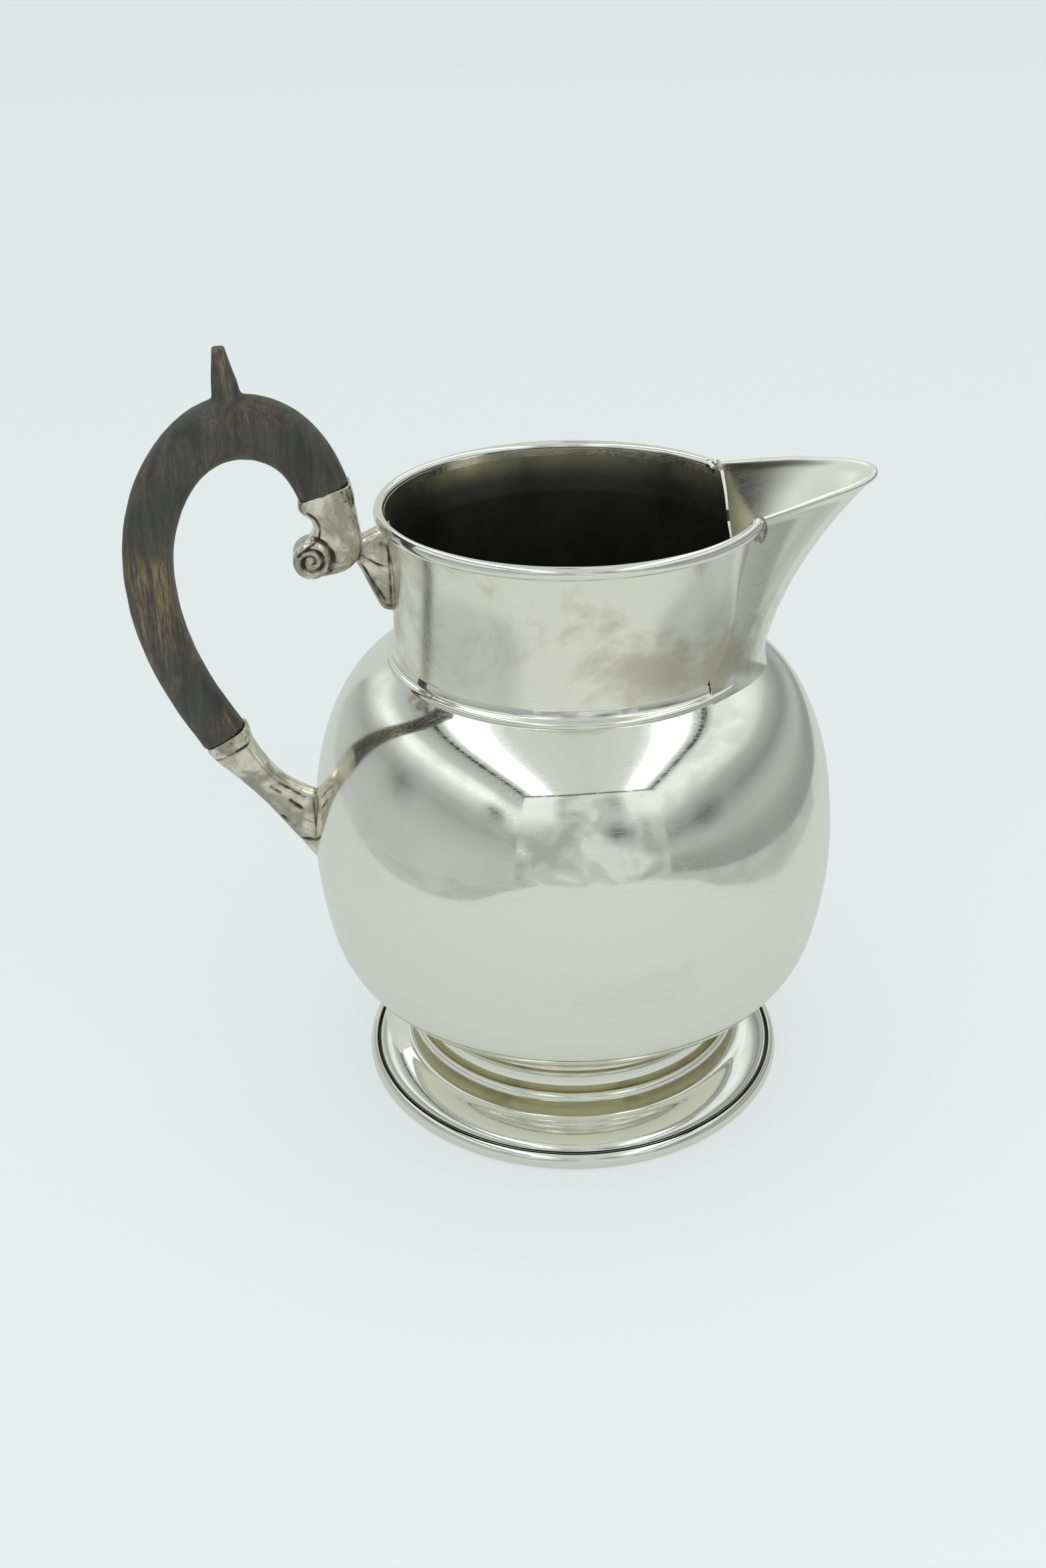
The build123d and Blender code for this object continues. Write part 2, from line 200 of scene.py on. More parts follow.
# %% [markdown]
# The bowl is raised from one disc of sheet: a round bottom, a full belly, and a shoulder that closes
# towards the neck. It could be a sphere pushed about with modifiers, but a smith works to a profile,
# so the profile is drawn and turned. Hand raising leaves broad shallow hollows that only show as bent
# reflections: they go up to a quarter of a millimetre in and never out, so the belly keeps its size.

# %% The bowl
SHEET = 1.2                     # thickness of the raised sheet
HOLLOWS_FROM, HOLLOWS_TO = 86.0, 137.0
BOWL = [(0, 24.0), (24, 25.0), (42, 27.9), (55.6, 32.3), (69.8, 44.5), (74.5, 60.3), (76.0, 76.0), (75.3, 90.4),
        (73.1, 105.4), (68.6, 118.4), (61.6, 129.2), (49.0, 138.0)]


def offset_line(line, distance):
    """The line moved to its left by a distance: each point goes along the normal of its neighbours' chord."""
    along = np.gradient(line, axis=0)
    along /= np.linalg.norm(along, axis=1)[:, None]
    return line + distance * np.stack([-along[:, 1], along[:, 0]], -1)


outside = smooth_curve(BOWL, 150, mirrored=True) * [0.9997, 1]
inside = offset_line(outside, SHEET)[::-1]
bowl_line = np.concatenate([outside, inside])
steps = 320
turn = np.linspace(0, math.tau, steps, endpoint=False)
bowl_rings = np.stack([np.outer(bowl_line[:, 0], np.cos(turn)), np.outer(bowl_line[:, 0], np.sin(turn)),
                       np.repeat(bowl_line[:, 1:], steps, axis=1)], -1)
bowl_rings = bowl_rings[1:-1]
shape = bowl_rings.shape
flat = bowl_rings.reshape(-1, 3)
hollow = 0.12 * (lattice_noise(flat, 30.0, 11) - 1) + 0.014 * (lattice_noise(flat, 11.0, 12) - 1)
height_share = np.clip((flat[:, 2] - HOLLOWS_FROM) / 20.0, 0, 1) * np.clip((HOLLOWS_TO - flat[:, 2]) / 8.0, 0, 1)
centre = np.array([0.0, 0.0, 80.0])
outward = flat - centre
outward /= np.linalg.norm(outward, axis=1)[:, None]
flat = flat + outward * (hollow * height_share)[:, None]
verts, faces = ring_solid(flat.reshape(shape))
verts[-2:] = [[0, 0, bowl_line[0, 1]], [0, 0, bowl_line[-1, 1]]]
bowl = finish_mesh("silver_bowl", verts, faces, ["body_bowl"])

# %% [markdown]
# The neck is a nearly upright band, a little waisted, soldered into the mouth of the bowl. Where the
# spout sits, its wall is cut away in a deep notch, so that water can leave. Cutting with a boolean
# would leave long thin triangles along the notch. Here the wall's own grid follows the notch instead:
# the height of the top edge is a function of the angle, and every row is a share of that height.

# %% The neck
NECK_LOW, NECK_TOP, NECK_MEAN_R = 133.5, 178.6, 50.5
NECK = [(49.8, 136.0), (49.6, 144.0), (49.4, 155.0), (49.7, 167.0), (51.6, NECK_TOP)]
NECK_INSIDE = [(48.8, NECK_LOW), (48.8, 150.0), (48.8, 166.0), (50.4, NECK_TOP)]
NOTCH = [(0.0, 147.0), (5.0, 151.5), (11.0, 160.0), (17.5, 173.0), (20.8, NECK_TOP)]
neck_curve = smooth_curve(NECK, 200)
inside_curve = np.array(NECK_INSIDE)
neck_radius = lambda z: np.interp(z, neck_curve[:, 1], neck_curve[:, 0])
inside_radius = lambda z: np.interp(z, inside_curve[:, 1], inside_curve[:, 0])

angle = np.radians(np.concatenate([np.linspace(-27, 27, 160), np.linspace(27, 333, 260)[1:-1]]))
across = np.abs(np.sin(angle)) * NECK_MEAN_R
facing_spout = np.cos(angle) > 0
notch = np.array(NOTCH)
top = np.where(facing_spout & (across < notch[-1, 0]), np.interp(across, notch[:, 0], notch[:, 1]), NECK_TOP)
rows = np.linspace(0, 1, 70)
height = NECK_LOW + (top[:, None] - NECK_LOW) * rows[None, :]
outer_r = neck_radius(height)
inner_r = inside_radius(height)
loop_r = np.concatenate([outer_r, inner_r[:, ::-1]], axis=1)
loop_z = np.concatenate([height, height[:, ::-1]], axis=1)
neck_rings = np.stack([loop_r * np.cos(angle)[:, None], loop_r * np.sin(angle)[:, None], loop_z], -1)
verts, faces = ring_solid(neck_rings, wrap=True)
neck = finish_mesh("neck_band_silver", verts, faces, ["neck_band"])
print("the notch is", round(2 * float(notch[-1, 0]), 1), "mm wide at the rim")

# %% [markdown]
# Two wires stiffen the neck. The rim is a plump wire over the raw edge, and the base moulding is a
# hollow above a round bead, drawn through a plate and bent round. Both stop where the spout begins, and
# the rim's ends drown in a rough lump of solder, which is what the eye finds first there.

# %% The wires of the neck
RIM_R, RIM_Z, RIM_WIDE, RIM_HIGH = 51.93, NECK_TOP, 1.5, 1.9
SPOUT_HALF = 27.6               # degrees from the spout's middle to each end of the rim
section = np.linspace(0, math.tau, 48, endpoint=False)
rim_turn = np.radians(SPOUT_HALF + (360 - 2 * SPOUT_HALF) * np.linspace(0, 1, 420))
to_end = np.minimum(rim_turn - rim_turn[0], rim_turn[-1] - rim_turn) * RIM_R
fullness = np.sqrt(np.clip(1 - (1 - np.clip(to_end / 1.6, 0.04, 1)) ** 2, 0, 1))
lump = 1 + 0.16 * np.exp(-((to_end - 1.9) / 1.3) ** 2)
size = (fullness * lump)[:, None]
radial = RIM_R + RIM_WIDE * size * np.cos(section)[None, :]
level = RIM_Z + RIM_HIGH * size * np.sin(section)[None, :]
rim_rings = np.stack([radial * np.cos(rim_turn)[:, None], radial * np.sin(rim_turn)[:, None], level], -1)
flat = rim_rings.reshape(-1, 3)
near_end = np.repeat(np.exp(-(to_end / 3.2) ** 2), len(section))
middle = np.stack([RIM_R * np.cos(rim_turn), RIM_R * np.sin(rim_turn), np.full(len(rim_turn), RIM_Z)], -1)
away = flat - np.repeat(middle, len(section), axis=0)
rough = 0.34 * lattice_noise(flat, 1.1, 21) + 0.2 * lattice_noise(flat, 0.55, 22)
wander = 0.035 * lattice_noise(flat, 9.0, 23) - 0.035
flat = flat + away * (rough * near_end)[:, None] + away * wander[:, None]
verts, faces = ring_solid(flat.reshape(rim_rings.shape))
rim = finish_mesh("rim_wire_silver", verts, faces, ["rim_wire"], sharp_angle=60)

moulding = smooth_curve([(49.9, 140.4), (50.25, 139.2), (50.75, 138.35), (51.7, 137.9), (52.2, 137.1),
                         (51.9, 136.1), (51.4, 135.5)], 44)
moulding = np.concatenate([moulding, [(50.6, 134.4), (49.1, 134.4), (49.1, 140.3)]])
verts, faces = turned(moulding, start=33.0, sweep=294.0, steps=340)
base_wire = finish_mesh("neck_moulding", verts, faces, ["neck_wire"])

# %% [markdown]
# The spout is one bent sheet. Any level cut through it is close to a parabola whose nose runs forward
# faster and faster with height, which gives the swept keel. The same sheet flares into the shoulder at
# the bottom, lies flat on the neck at its sides, and is rolled over into a thick bead along its lip.
# A grid with one direction across and one up the sheet can say all of that in a formula.

# %% The spout
KEEL_R, KEEL_Z, KEEL_SLOPE, KEEL_BEND = 53.9, 138.0, 0.25, 0.0090
SEAM_WIDE, SEAM_Z, SEAM_TAPER, ROUNDNESS = 29.0, 141.0, 0.11, 2.25
LIP = np.array([(30, 180.4), (47, 180.7), (65.7, 183.2), (84.4, 184.4), (95, 184.8)])
ROLL = 0.95                     # radius of the rolled lip
THICK = 1.1
CHANNEL_X = 34.0                # the sheet's sides lean away from this place on X
EDGE_THINNING = 0.78            # how much of its thickness the sheet loses where it meets the neck


def sheet_point(share, z):
    """Level z of the spout: x = keel - (keel - seam) |share|^2.25 and y = share times the half width."""
    rise = z - KEEL_Z
    keel = KEEL_R + KEEL_SLOPE * rise + KEEL_BEND * np.maximum(rise, 0) * rise
    half = SEAM_WIDE - SEAM_TAPER * (z - SEAM_Z)
    seam = np.sqrt(np.maximum(51.6 ** 2 - half ** 2, 1))
    return keel - (keel - seam) * np.abs(share) ** ROUNDNESS, share * half


def edge_share(z):
    """The share at which each level meets the neck: the first of many where the radius is the neck's."""
    shares = np.linspace(0.6, 1.35, 400)
    x, y = sheet_point(shares[None, :], z[..., None])
    short = np.hypot(x, y) < neck_radius(z)[..., None] - 0.06
    return np.where(short.any(-1), shares[short.argmax(-1)], 1.35)


bowl_out = smooth_curve(BOWL, 400, mirrored=True)
upper = bowl_out[bowl_out[:, 1] > 90]
across = np.linspace(-1, 1, 181)
low = np.full(across.shape, 136.0)
high = np.full(across.shape, 183.0)
for _ in range(12):             # each round brings the two edges nearer to the bowl and to the lip
    x, y = sheet_point(across * edge_share(low), low)
    low = 0.5 * low + 0.5 * np.interp(-np.hypot(x, y), -upper[:, 0], upper[:, 1])
    x, y = sheet_point(across * edge_share(high), high)
    high = np.interp(x, LIP[:, 0], LIP[:, 1]) - ROLL
low = np.clip(low, 128.0, 138.0)
share_up = np.linspace(0, 1, 90) ** 1.15
z = (low - 1.4)[:, None] + (high - low + 1.4)[:, None] * share_up[None, :]
x, y = sheet_point(across[:, None] * edge_share(z), z)
base = np.stack([x, y, z], -1)
over_bowl = np.clip(1 - (z - low[:, None]) / 7.0, 0, 1.2)
flare = 1.5 * over_bowl ** 2.4
side = np.stack([x - CHANNEL_X, y, np.zeros_like(z)], -1)
side /= np.linalg.norm(side, axis=-1)[..., None]
base = base + side * flare[..., None]
up = np.gradient(base, axis=1)
wide = np.gradient(base, axis=0)
normal = np.cross(wide, up)
normal /= np.linalg.norm(normal, axis=-1)[..., None]
up /= np.linalg.norm(up, axis=-1)[..., None]
if normal[len(across) // 2, len(share_up) // 2, 0] < 0:       # the outside looks forward
    normal = -normal
to_lip = high[:, None] - z
bulge = 0.40 * np.exp(-(to_lip / 1.3) ** 2)
taper = 1 - EDGE_THINNING * np.abs(across[:, None]) ** 14
shell_out = base + normal * bulge[..., None]
shell_in = base - normal * (THICK * taper + bulge * 0.9)[..., None]
roll_turn = np.linspace(0, math.pi, 15)[1:-1]
roll_middle = (shell_out[:, -1] + shell_in[:, -1]) / 2
roll_r = np.linalg.norm(shell_out[:, -1] - shell_in[:, -1], axis=-1)[:, None, None] / 2
roll = (roll_middle[:, None] + normal[:, -1][:, None] * roll_r * np.cos(roll_turn)[None, :, None]
        + up[:, -1][:, None] * roll_r * np.sin(roll_turn)[None, :, None])
odd = roll.shape[1] % 2
spout_rings = np.concatenate([shell_out, roll[:, :len(roll_turn) - odd], shell_in[:, ::-1]], axis=1)
verts, faces = ring_solid(spout_rings, ends="strip")
spout = finish_mesh("spout_silver", verts, faces, ["spout"], sharp_angle=50)
print("spout reaches x =", round(float(verts[:, 0].max()), 2), "mm and z =", round(float(verts[:, 2].max()), 2))

# %% [markdown]
# Solder left standing beside the spout is a lump that nobody filed. A sculpted ball would do, but noise
# along each point's own radius gives the same runny skin in one line, and it is the same on every run.
# The recess attribute that the lumps get is explained with the castings.

# %% Solder at the ends of the rim
def keep_recess(piece, recess):
    """Stores the recess mask on the mesh, one value for each point."""
    layer = piece.data.attributes.new("recess", "FLOAT", "POINT")
    layer.data.foreach_set("value", np.asarray(recess, np.float32))


def solder_lump(name, side):
    """A squashed ball, x = R cos u cos v and so on, made rough by noise along its own radius."""
    u = np.linspace(-math.pi / 2, math.pi / 2, 34)[1:-1]
    v = np.linspace(0, math.tau, 56, endpoint=False)
    ball = np.stack([np.outer(np.cos(u), np.cos(v)), np.outer(np.cos(u), np.sin(v)),
                     np.repeat(np.sin(u)[:, None], 56, axis=1)], -1).reshape(-1, 3)
    grow = 1 + 0.26 * lattice_noise(ball + 5 * side, 0.5, 71) + 0.12 * lattice_noise(ball, 0.23, 72)
    lump_angle = math.radians(SPOUT_HALF) * side
    out = np.array([math.cos(lump_angle), math.sin(lump_angle), 0])
    round_ = np.array([-math.sin(lump_angle), math.cos(lump_angle), 0]) * side
    local = ball * grow[:, None] * [1.9, 2.1, 3.3]
    points = 52.0 * out + [0, 0, 176.9] + local[:, :1] * out + local[:, 1:2] * round_ + local[:, 2:] * [0, 0, 1]
    verts, faces = ring_solid(points.reshape(len(u), 56, 3))
    return finish_mesh(name, verts, faces, [], sharp_angle=70)


lumps = [solder_lump("solder_near", -1), solder_lump("solder_far", 1)]
for lump in lumps:
    keep_recess(lump, np.full(len(lump.data.vertices), 0.25))

# %% [markdown]
# The foot is a spun ring in five members: a heavy base wire, a broad tread that rises into a steep
# hollow, a half-round bead, and a waisted collar with a thin wire under the bowl. Polished members like
# these are told apart only by how their curves bend the light, so each arc gets plenty of points, and
# the fine dark groove above the base wire is a real gap.

# %% The foot
FOOT_TOP = 5.2
wire_line = np.concatenate([
    arc_through((62.7, 0.0), (64.3, 2.6), (62.7, FOOT_TOP), 40),
    arc_through((62.7, FOOT_TOP), (62.2, 4.85), (61.9, 3.7), 14)[1:],
    straight((61.9, 3.7), (61.25, 3.7), 3)[1:],
    straight((61.2, 4.25), (60.25, 4.25), 3),
    straight((60.2, 4.2), (60.2, 0.1), 8),
    straight((60.3, 0.0), (62.6, 0.0), 8),
])
verts, faces = turned(wire_line)
foot_wire = finish_mesh("foot_base_wire", verts, faces, ["foot_rim_wire"])

dome_line = np.concatenate([
    straight((61.2, 4.6), (61.2, 4.85), 2),
    smooth_curve([(61.15, 5.05), (60.7, 5.75), (59.4, 6.65), (57.0, 7.6), (54.4, 8.3), (52.2, 8.85),
                  (51.1, 9.5), (50.5, 10.8), (50.3, 12.4), (50.5, 14.25)], 70),
    arc_through((50.62, 14.4), (50.95, 15.75), (48.75, 16.95), 26),
    straight((48.3, 17.15), (47.9, 18.35), 6),
    straight((46.9, 18.3), (46.9, 17.0), 4),
    straight((47.6, 16.8), (49.4, 14.3), 6),
    arc_through((49.4, 14.2), (49.2, 11.0), (51.8, 7.7), 20),
    straight((51.9, 7.6), (55.8, 5.6), 12),
    straight((56.0, 4.32), (61.1, 4.32), 8),
])
verts, faces = turned(dome_line)
dome = finish_mesh("foot_dome_silver", verts, faces, ["foot_dome"])

collar_line = np.concatenate([
    arc_through((47.9, 18.4), (47.5, 21.0), (48.8, 24.8), 40),
    straight((48.6, 26.2), (48.3, 29.0), 5),
    straight((46.4, 28.4), (46.4, 18.5), 16),
])
verts, faces = turned(collar_line)
collar = finish_mesh("foot_collar_silver", verts, faces, ["foot_collar"])
round_wire = np.stack([48.9 + 0.9 * np.cos(section), 25.7 + 0.9 * np.sin(section)], -1)
verts, faces = turned(round_wire)
top_wire = finish_mesh("foot_top_wire_silver", verts, faces, ["foot_top_wire"])

# %% [markdown]
# The handle is carved from one block of dark hardwood. It could be swept along its middle line, but a
# carver saws out two edges and rounds between them. So each piece of the handle, wood or casting, is
# given by its two edges in the XZ plane and a breadth along Y. Every section between the edges is a
# superellipse, which is an ellipse whose power is raised above two to square it a little.

# %% Sections between two edges
def superellipse(points, power):
    """Cosine and sine of evenly spaced angles, each raised to 2 / power with its sign kept."""
    turn = np.linspace(0, math.tau, points, endpoint=False)
    return tuple(np.sign(wave) * np.abs(wave) ** (2 / power) for wave in (np.cos(turn), np.sin(turn)))


def between_edges(first, second, breadth, count, power):
    """Closed sections between two edges: middle + half depth * c + Y * half breadth * s, c and s as above."""
    edge_a = smooth_curve(first, count)
    edge_b = smooth_curve(second, count)
    share = np.linspace(0, 1, len(breadth))
    half = np.interp(np.linspace(0, 1, count), share, breadth) / 2
    c, s = superellipse(56, power)
    middle = (edge_a + edge_b) / 2
    reach = (edge_b - edge_a) / 2
    xz = middle[:, None] + reach[:, None] * c[None, :, None]
    y = half[:, None] * s[None, :]
    return np.stack([xz[..., 0], y, xz[..., 1]], -1)


def merged(parts, voxel, smoothing, name):
    """One skin round several overlapping closed parts: a fine voxel remesh, then a little smoothing."""
    all_verts = []
    all_faces = []
    offset = 0
    for part_verts, part_faces in parts:
        all_verts.append(part_verts)
        all_faces += [[index + offset for index in face] for face in part_faces]
        offset += len(part_verts)
    mesh = bpy.data.meshes.new(name + "_rough")
    mesh.from_pydata((np.concatenate(all_verts) * MM).tolist(), [], all_faces)
    form = bmesh.new()
    form.from_mesh(mesh)
    bmesh.ops.recalc_face_normals(form, faces=form.faces)
    form.to_mesh(mesh)
    form.free()
    rough = bpy.data.objects.new(name + "_rough", mesh)
    bpy.context.scene.collection.objects.link(rough)
    remesh = rough.modifiers.new("one skin", "REMESH")
    remesh.mode = "VOXEL"
    remesh.voxel_size = voxel * MM
    soften = rough.modifiers.new("soften", "SMOOTH")
    soften.factor = 0.5
    soften.iterations = smoothing
    bpy.context.view_layer.update()
    evaluated = rough.evaluated_get(bpy.context.evaluated_depsgraph_get())
    result = bpy.data.meshes.new_from_object(evaluated)
    coords = np.empty(len(result.vertices) * 3)
    result.vertices.foreach_get("co", coords)
    normals = np.empty(len(result.vertices) * 3)
    result.vertices.foreach_get("normal", normals)
    faces = [list(polygon.vertices) for polygon in result.polygons]
    bpy.data.objects.remove(rough)
    bpy.data.meshes.remove(mesh)
    bpy.data.meshes.remove(result)
    return coords.reshape(-1, 3) / MM, normals.reshape(-1, 3), faces


print("section helpers ready")

# %% The carved grip
GRIP = [((-65.9, 185.9), 14.2, 11.0), ((-70.3, 195.4), 15.0, 12.4), ((-77.4, 202.0), 16.4, 14.0),
        ((-88.4, 204.2), 16.8, 15.0), ((-99.9, 199.0), 15.2, 15.2), ((-107.8, 189.1), 14.4, 15.0),
        ((-112.7, 176.2), 13.8, 14.6), ((-113.9, 162.0), 13.6, 14.2), ((-111.4, 144.9), 13.4, 13.4),
        ((-105.9, 129.8), 13.4, 12.2), ((-98.9, 116.3), 13.6, 11.0)]
grip_middle = smooth_curve([middle for middle, depth, broad in GRIP], 150)
along = np.gradient(grip_middle, axis=0)
along /= np.linalg.norm(along, axis=1)[:, None]
travel = np.concatenate([[0], np.cumsum(np.linalg.norm(np.diff(grip_middle, axis=0), axis=1))])
nearest = [np.argmin(np.linalg.norm(grip_middle - np.array(m), axis=1)) for m, depth, broad in GRIP]
depth_curve = smooth_curve([(travel[i], depth) for i, (m, depth, broad) in zip(nearest, GRIP)], 400)
breadth_curve = smooth_curve([(travel[i], broad) for i, (m, depth, broad) in zip(nearest, GRIP)], 400)
depth = np.interp(travel, depth_curve[:, 0], depth_curve[:, 1]) - 0.1
breadth = np.interp(travel, breadth_curve[:, 0], breadth_curve[:, 1])
c, s = superellipse(72, 2.5)
left = np.stack([-along[:, 1], along[:, 0]], -1)
xz = grip_middle[:, None] + left[:, None] * (depth[:, None] / 2 * c[None, :])[..., None]
grip_rings = np.stack([xz[..., 0], breadth[:, None] / 2 * s[None, :], xz[..., 1]], -1)
grip_part = ring_solid(grip_rings)

SPUR = [((-89.2, 200.0), 15.0, 10.6), ((-88.6, 204.5), 13.0, 10.0), ((-88.5, 207.2), 10.2, 8.8),
        ((-88.6, 209.5), 8.5, 7.8), ((-88.9, 213.0), 7.6, 7.1), ((-89.1, 216.5), 6.7, 6.3),
        ((-89.4, 220.5), 5.2, 5.4), ((-89.6, 223.6), 3.9, 4.5), ((-89.7, 225.1), 3.4, 4.1)]
spur_z = np.linspace(200.0, 225.1, 60)
spur_table = np.array([(m[1], m[0], d, b) for m, d, b in SPUR])
spur_x, spur_d, spur_b = (np.interp(spur_z, spur_table[:, 0], spur_table[:, k]) for k in (1, 2, 3))
c, s = superellipse(72, 3.4)
spur_rings = np.stack([spur_x[:, None] + spur_d[:, None] / 2 * c, spur_b[:, None] / 2 * s,
                       np.repeat(spur_z[:, None], len(c), axis=1)], -1)
spur_part = ring_solid(spur_rings)
coords, normals, faces = merged([grip_part, spur_part], 0.55, 5, "grip")
dents = 0.10 * (lattice_noise(coords, 5.0, 31) - 1) + 0.05 * (lattice_noise(coords * [1, 1, 0.25], 1.4, 32) - 1)
coords = coords + normals * dents[:, None]
grip = finish_mesh("carved_wood_grip", coords, faces, ["handle_wood"], sharp_angle=60)

# %% [markdown]
# Silver castings hold the wood: above, a cup whose stem rolls into a scroll, and a leaf that joins it to
# the neck; below, a long cup that ends as a pointed leaf on the belly. Such castings are chased by hand:
# a spiral, raised borders, veins and short cuts. Each chased line is a curve in the XZ plane, and the
# skin is pushed in or out by how near each of its points is to the curve. The same distance is kept on
# the mesh as an attribute called recess, so that the finish can leave old tarnish in the cuts.

# %% Chasing tools
def distance_to(xz, curve):
    """The shortest distance from each point to a line of points, measured to every straight bit of it."""
    a = curve[:-1][None]
    step = np.diff(curve, axis=0)[None]
    toward = xz[:, None] - a
    share = np.clip((toward * step).sum(-1) / np.maximum((step * step).sum(-1), 1e-9), 0, 1)
    return np.linalg.norm(toward - share[..., None] * step, axis=-1).min(1)


def nearness(coords, curve, width):
    """One on the curve and falling away as exp(-(distance / width)^2)."""
    return np.exp(-(distance_to(coords[:, [0, 2]], np.array(curve, float)) / width) ** 2)


def chased(coords, normals, strokes, pits, seed):
    """Moves the skin along its normals: each stroke adds its height times its nearness, on the side faces.

    Pits are small random hollows where the casting was never polished; the patches that casting adds to them are
    painted shade on the upper socket. Returns points and recess.
    """
    sideways = np.clip((np.abs(normals[:, 1]) - 0.25) / 0.4, 0, 1)
    move = np.zeros(len(coords))
    recess = np.zeros(len(coords))
    uneven = 0.75 + 0.45 * lattice_noise(coords, 1.7, seed + 3)
    for curve, width, height in strokes:
        near = nearness(coords, curve, width) * sideways
        move += height * near * uneven
        recess = np.maximum(recess, near * uneven) if height < 0 and width < 1.5 else recess
    grain = lattice_noise(coords, 0.9, seed) * 0.6 + lattice_noise(coords, 0.45, seed + 1) * 0.4
    pit_depth = pits * np.clip(grain - 0.05, 0, 1)
    move -= 0.5 * pit_depth
    recess = np.clip(recess + 1.6 * pit_depth, 0, 1)
    move += 0.05 * (lattice_noise(coords, 3.0, seed + 2) - 1)
    return coords + normals * move[:, None], recess


def casting(name, cad_node, parts, voxel, strokes, seed, pits, patches=(), patch_pits_and_shade=0.0, smoothing=4):
    """Merges the parts, chases the skin and keeps the recess. Patches, (line, width, share), are pitted more, and
    their darker recess is painted shade on the upper socket.
    """
    coords, normals, faces = merged(parts, voxel, smoothing, name)
    if patches:
        rough = [share * nearness(coords, line, width) for line, width, share in patches]
        pits = pits + patch_pits_and_shade * np.max(rough, axis=0)
    coords, recess = chased(coords, normals, strokes, pits, seed)
    piece = finish_mesh(name, coords, faces, [cad_node], sharp_angle=70)
    keep_recess(piece, recess)
    return piece


print("chasing tools ready")

# %% The upper socket with its scroll
stem_left = [(-72.9, 184.2), (-73.1, 182.2), (-71.9, 180.5), (-70.3, 179.2), (-69.6, 177.3), (-69.8, 175.2),
             (-71.0, 173.4), (-72.8, 172.0), (-74.0, 170.0), (-74.2, 167.5), (-72.6, 165.6)]
stem_right = [(-58.9, 188.6), (-58.6, 187.0), (-58.2, 185.2), (-57.9, 182.4), (-57.5, 179.2), (-57.0, 175.6),
              (-56.8, 171.6), (-58.0, 167.4), (-61.0, 164.6), (-65.0, 163.4), (-69.0, 163.0)]
stem_breadth = [10.6, 10.6, 10.0, 9.6, 9.4, 9.3, 9.2, 9.1, 9.0, 8.8, 8.6]
stem = ring_solid(between_edges(stem_left, stem_right, stem_breadth, 90, power=4.5))
SCROLL = np.array([-70.6, 167.8])
disc_y = np.array([-4.8, -4.75, -4.5, -3.9, 3.9, 4.5, 4.75, 4.8])
disc_r = np.array([3.4, 4.2, 4.75, 5.0, 5.0, 4.75, 4.2, 3.4])
disc_turn = np.linspace(0, math.tau, 72, endpoint=False)
disc_rings = np.stack([SCROLL[0] + disc_r[:, None] * np.cos(disc_turn), np.repeat(disc_y[:, None], 72, axis=1),
                       SCROLL[1] + disc_r[:, None] * np.sin(disc_turn)], -1)


def spiral_line(first_angle, last_angle, first_r, last_r, count=80):
    """Points round the scroll's middle: the angle and the radius both run evenly."""
    share = np.linspace(0, 1, count)
    spiral_angle = np.radians(first_angle + (last_angle - first_angle) * share)
    radius = first_r + (last_r - first_r) * share
    return SCROLL + radius[:, None] * np.stack([np.cos(spiral_angle), np.sin(spiral_angle)], -1)


ring_ridge = spiral_line(75, -245, 4.5, 4.15)
ring_groove = spiral_line(150, -200, 3.75, 2.2)
heart_groove = spiral_line(-200, -395, 2.2, 0.7, 40)
outer_groove = spiral_line(98, -80, 6.5, 5.15)
border = smooth_curve([(-71.6, 181.6), (-70.3, 180.6), (-69.0, 178.6), (-68.6, 176.2), (-69.2, 174.2), (-70.8, 172.6),
                       (-72.4, 171.6)], 50)
border_cut = border + [0.75, 0.1]
face_edge = smooth_curve([(-60.6, 186.2), (-59.6, 182.4), (-59.2, 178.0), (-58.8, 173.6), (-60.2, 169.0),
                          (-63.4, 165.8), (-67.0, 164.4)], 50)
dish = smooth_curve([(-64.6, 181.0), (-64.2, 177.0), (-63.0, 172.6), (-63.4, 169.4)], 30)
strokes = [(ring_ridge, 0.6, 0.35), (ring_groove, 0.6, -0.9), (heart_groove, 0.5, -0.7), (outer_groove, 0.75, -0.8),
           (border, 0.45, 0.3), (border_cut, 0.35, -0.3), (face_edge, 0.5, 0.25), (dish, 3.2, -0.35)]
# These two patches follow the socket's edge towards the neck, which turns away from the light: their extra pits are
# real, and their dark recess is painted shade.
pitted_and_shaded_places = [([(-60.4, 186.5), (-59.4, 179.0)], 1.3, 1.0), ([(-66.2, 165.6), (-62.8, 167.4)], 1.3, 1.0)]
upper = casting("scroll_socket", "upper_socket", [stem, ring_solid(disc_rings)], 0.24, strokes, 41, 0.12,
                pitted_and_shaded_places, 0.9, smoothing=5)

# %% The leaf on the neck
leaf_top = [(-61.0, 172.8), (-58.6, 172.8), (-56.4, 173.4), (-54.2, 174.4), (-51.8, 175.6), (-50.2, 176.2),
            (-49.0, 176.5)]
leaf_low = [(-61.4, 168.4), (-59.6, 167.0), (-57.8, 164.2), (-56.0, 160.0), (-53.8, 155.0), (-51.8, 152.0),
            (-49.2, 151.4)]
leaf = ring_solid(between_edges(leaf_top, leaf_low, [6.4, 5.9, 6.1, 6.5, 6.9, 7.0, 7.0], 70, power=4.0))
vein = smooth_curve([(-57.2, 168.4), (-55.0, 167.0), (-52.6, 165.6), (-50.0, 165.0)], 30)
rim_cut = smooth_curve([(-57.4, 165.8), (-55.6, 162.4), (-53.4, 158.4), (-51.6, 155.2)], 30)
rim_cut_two = smooth_curve([(-55.9, 162.0), (-54.0, 157.8), (-52.2, 154.5), (-50.6, 153.3)], 30)
dent = [(-51.8, 171.6), (-50.3, 171.3)]
throat = smooth_curve([(-58.2, 172.6), (-57.8, 170.0), (-58.4, 167.6)], 20)
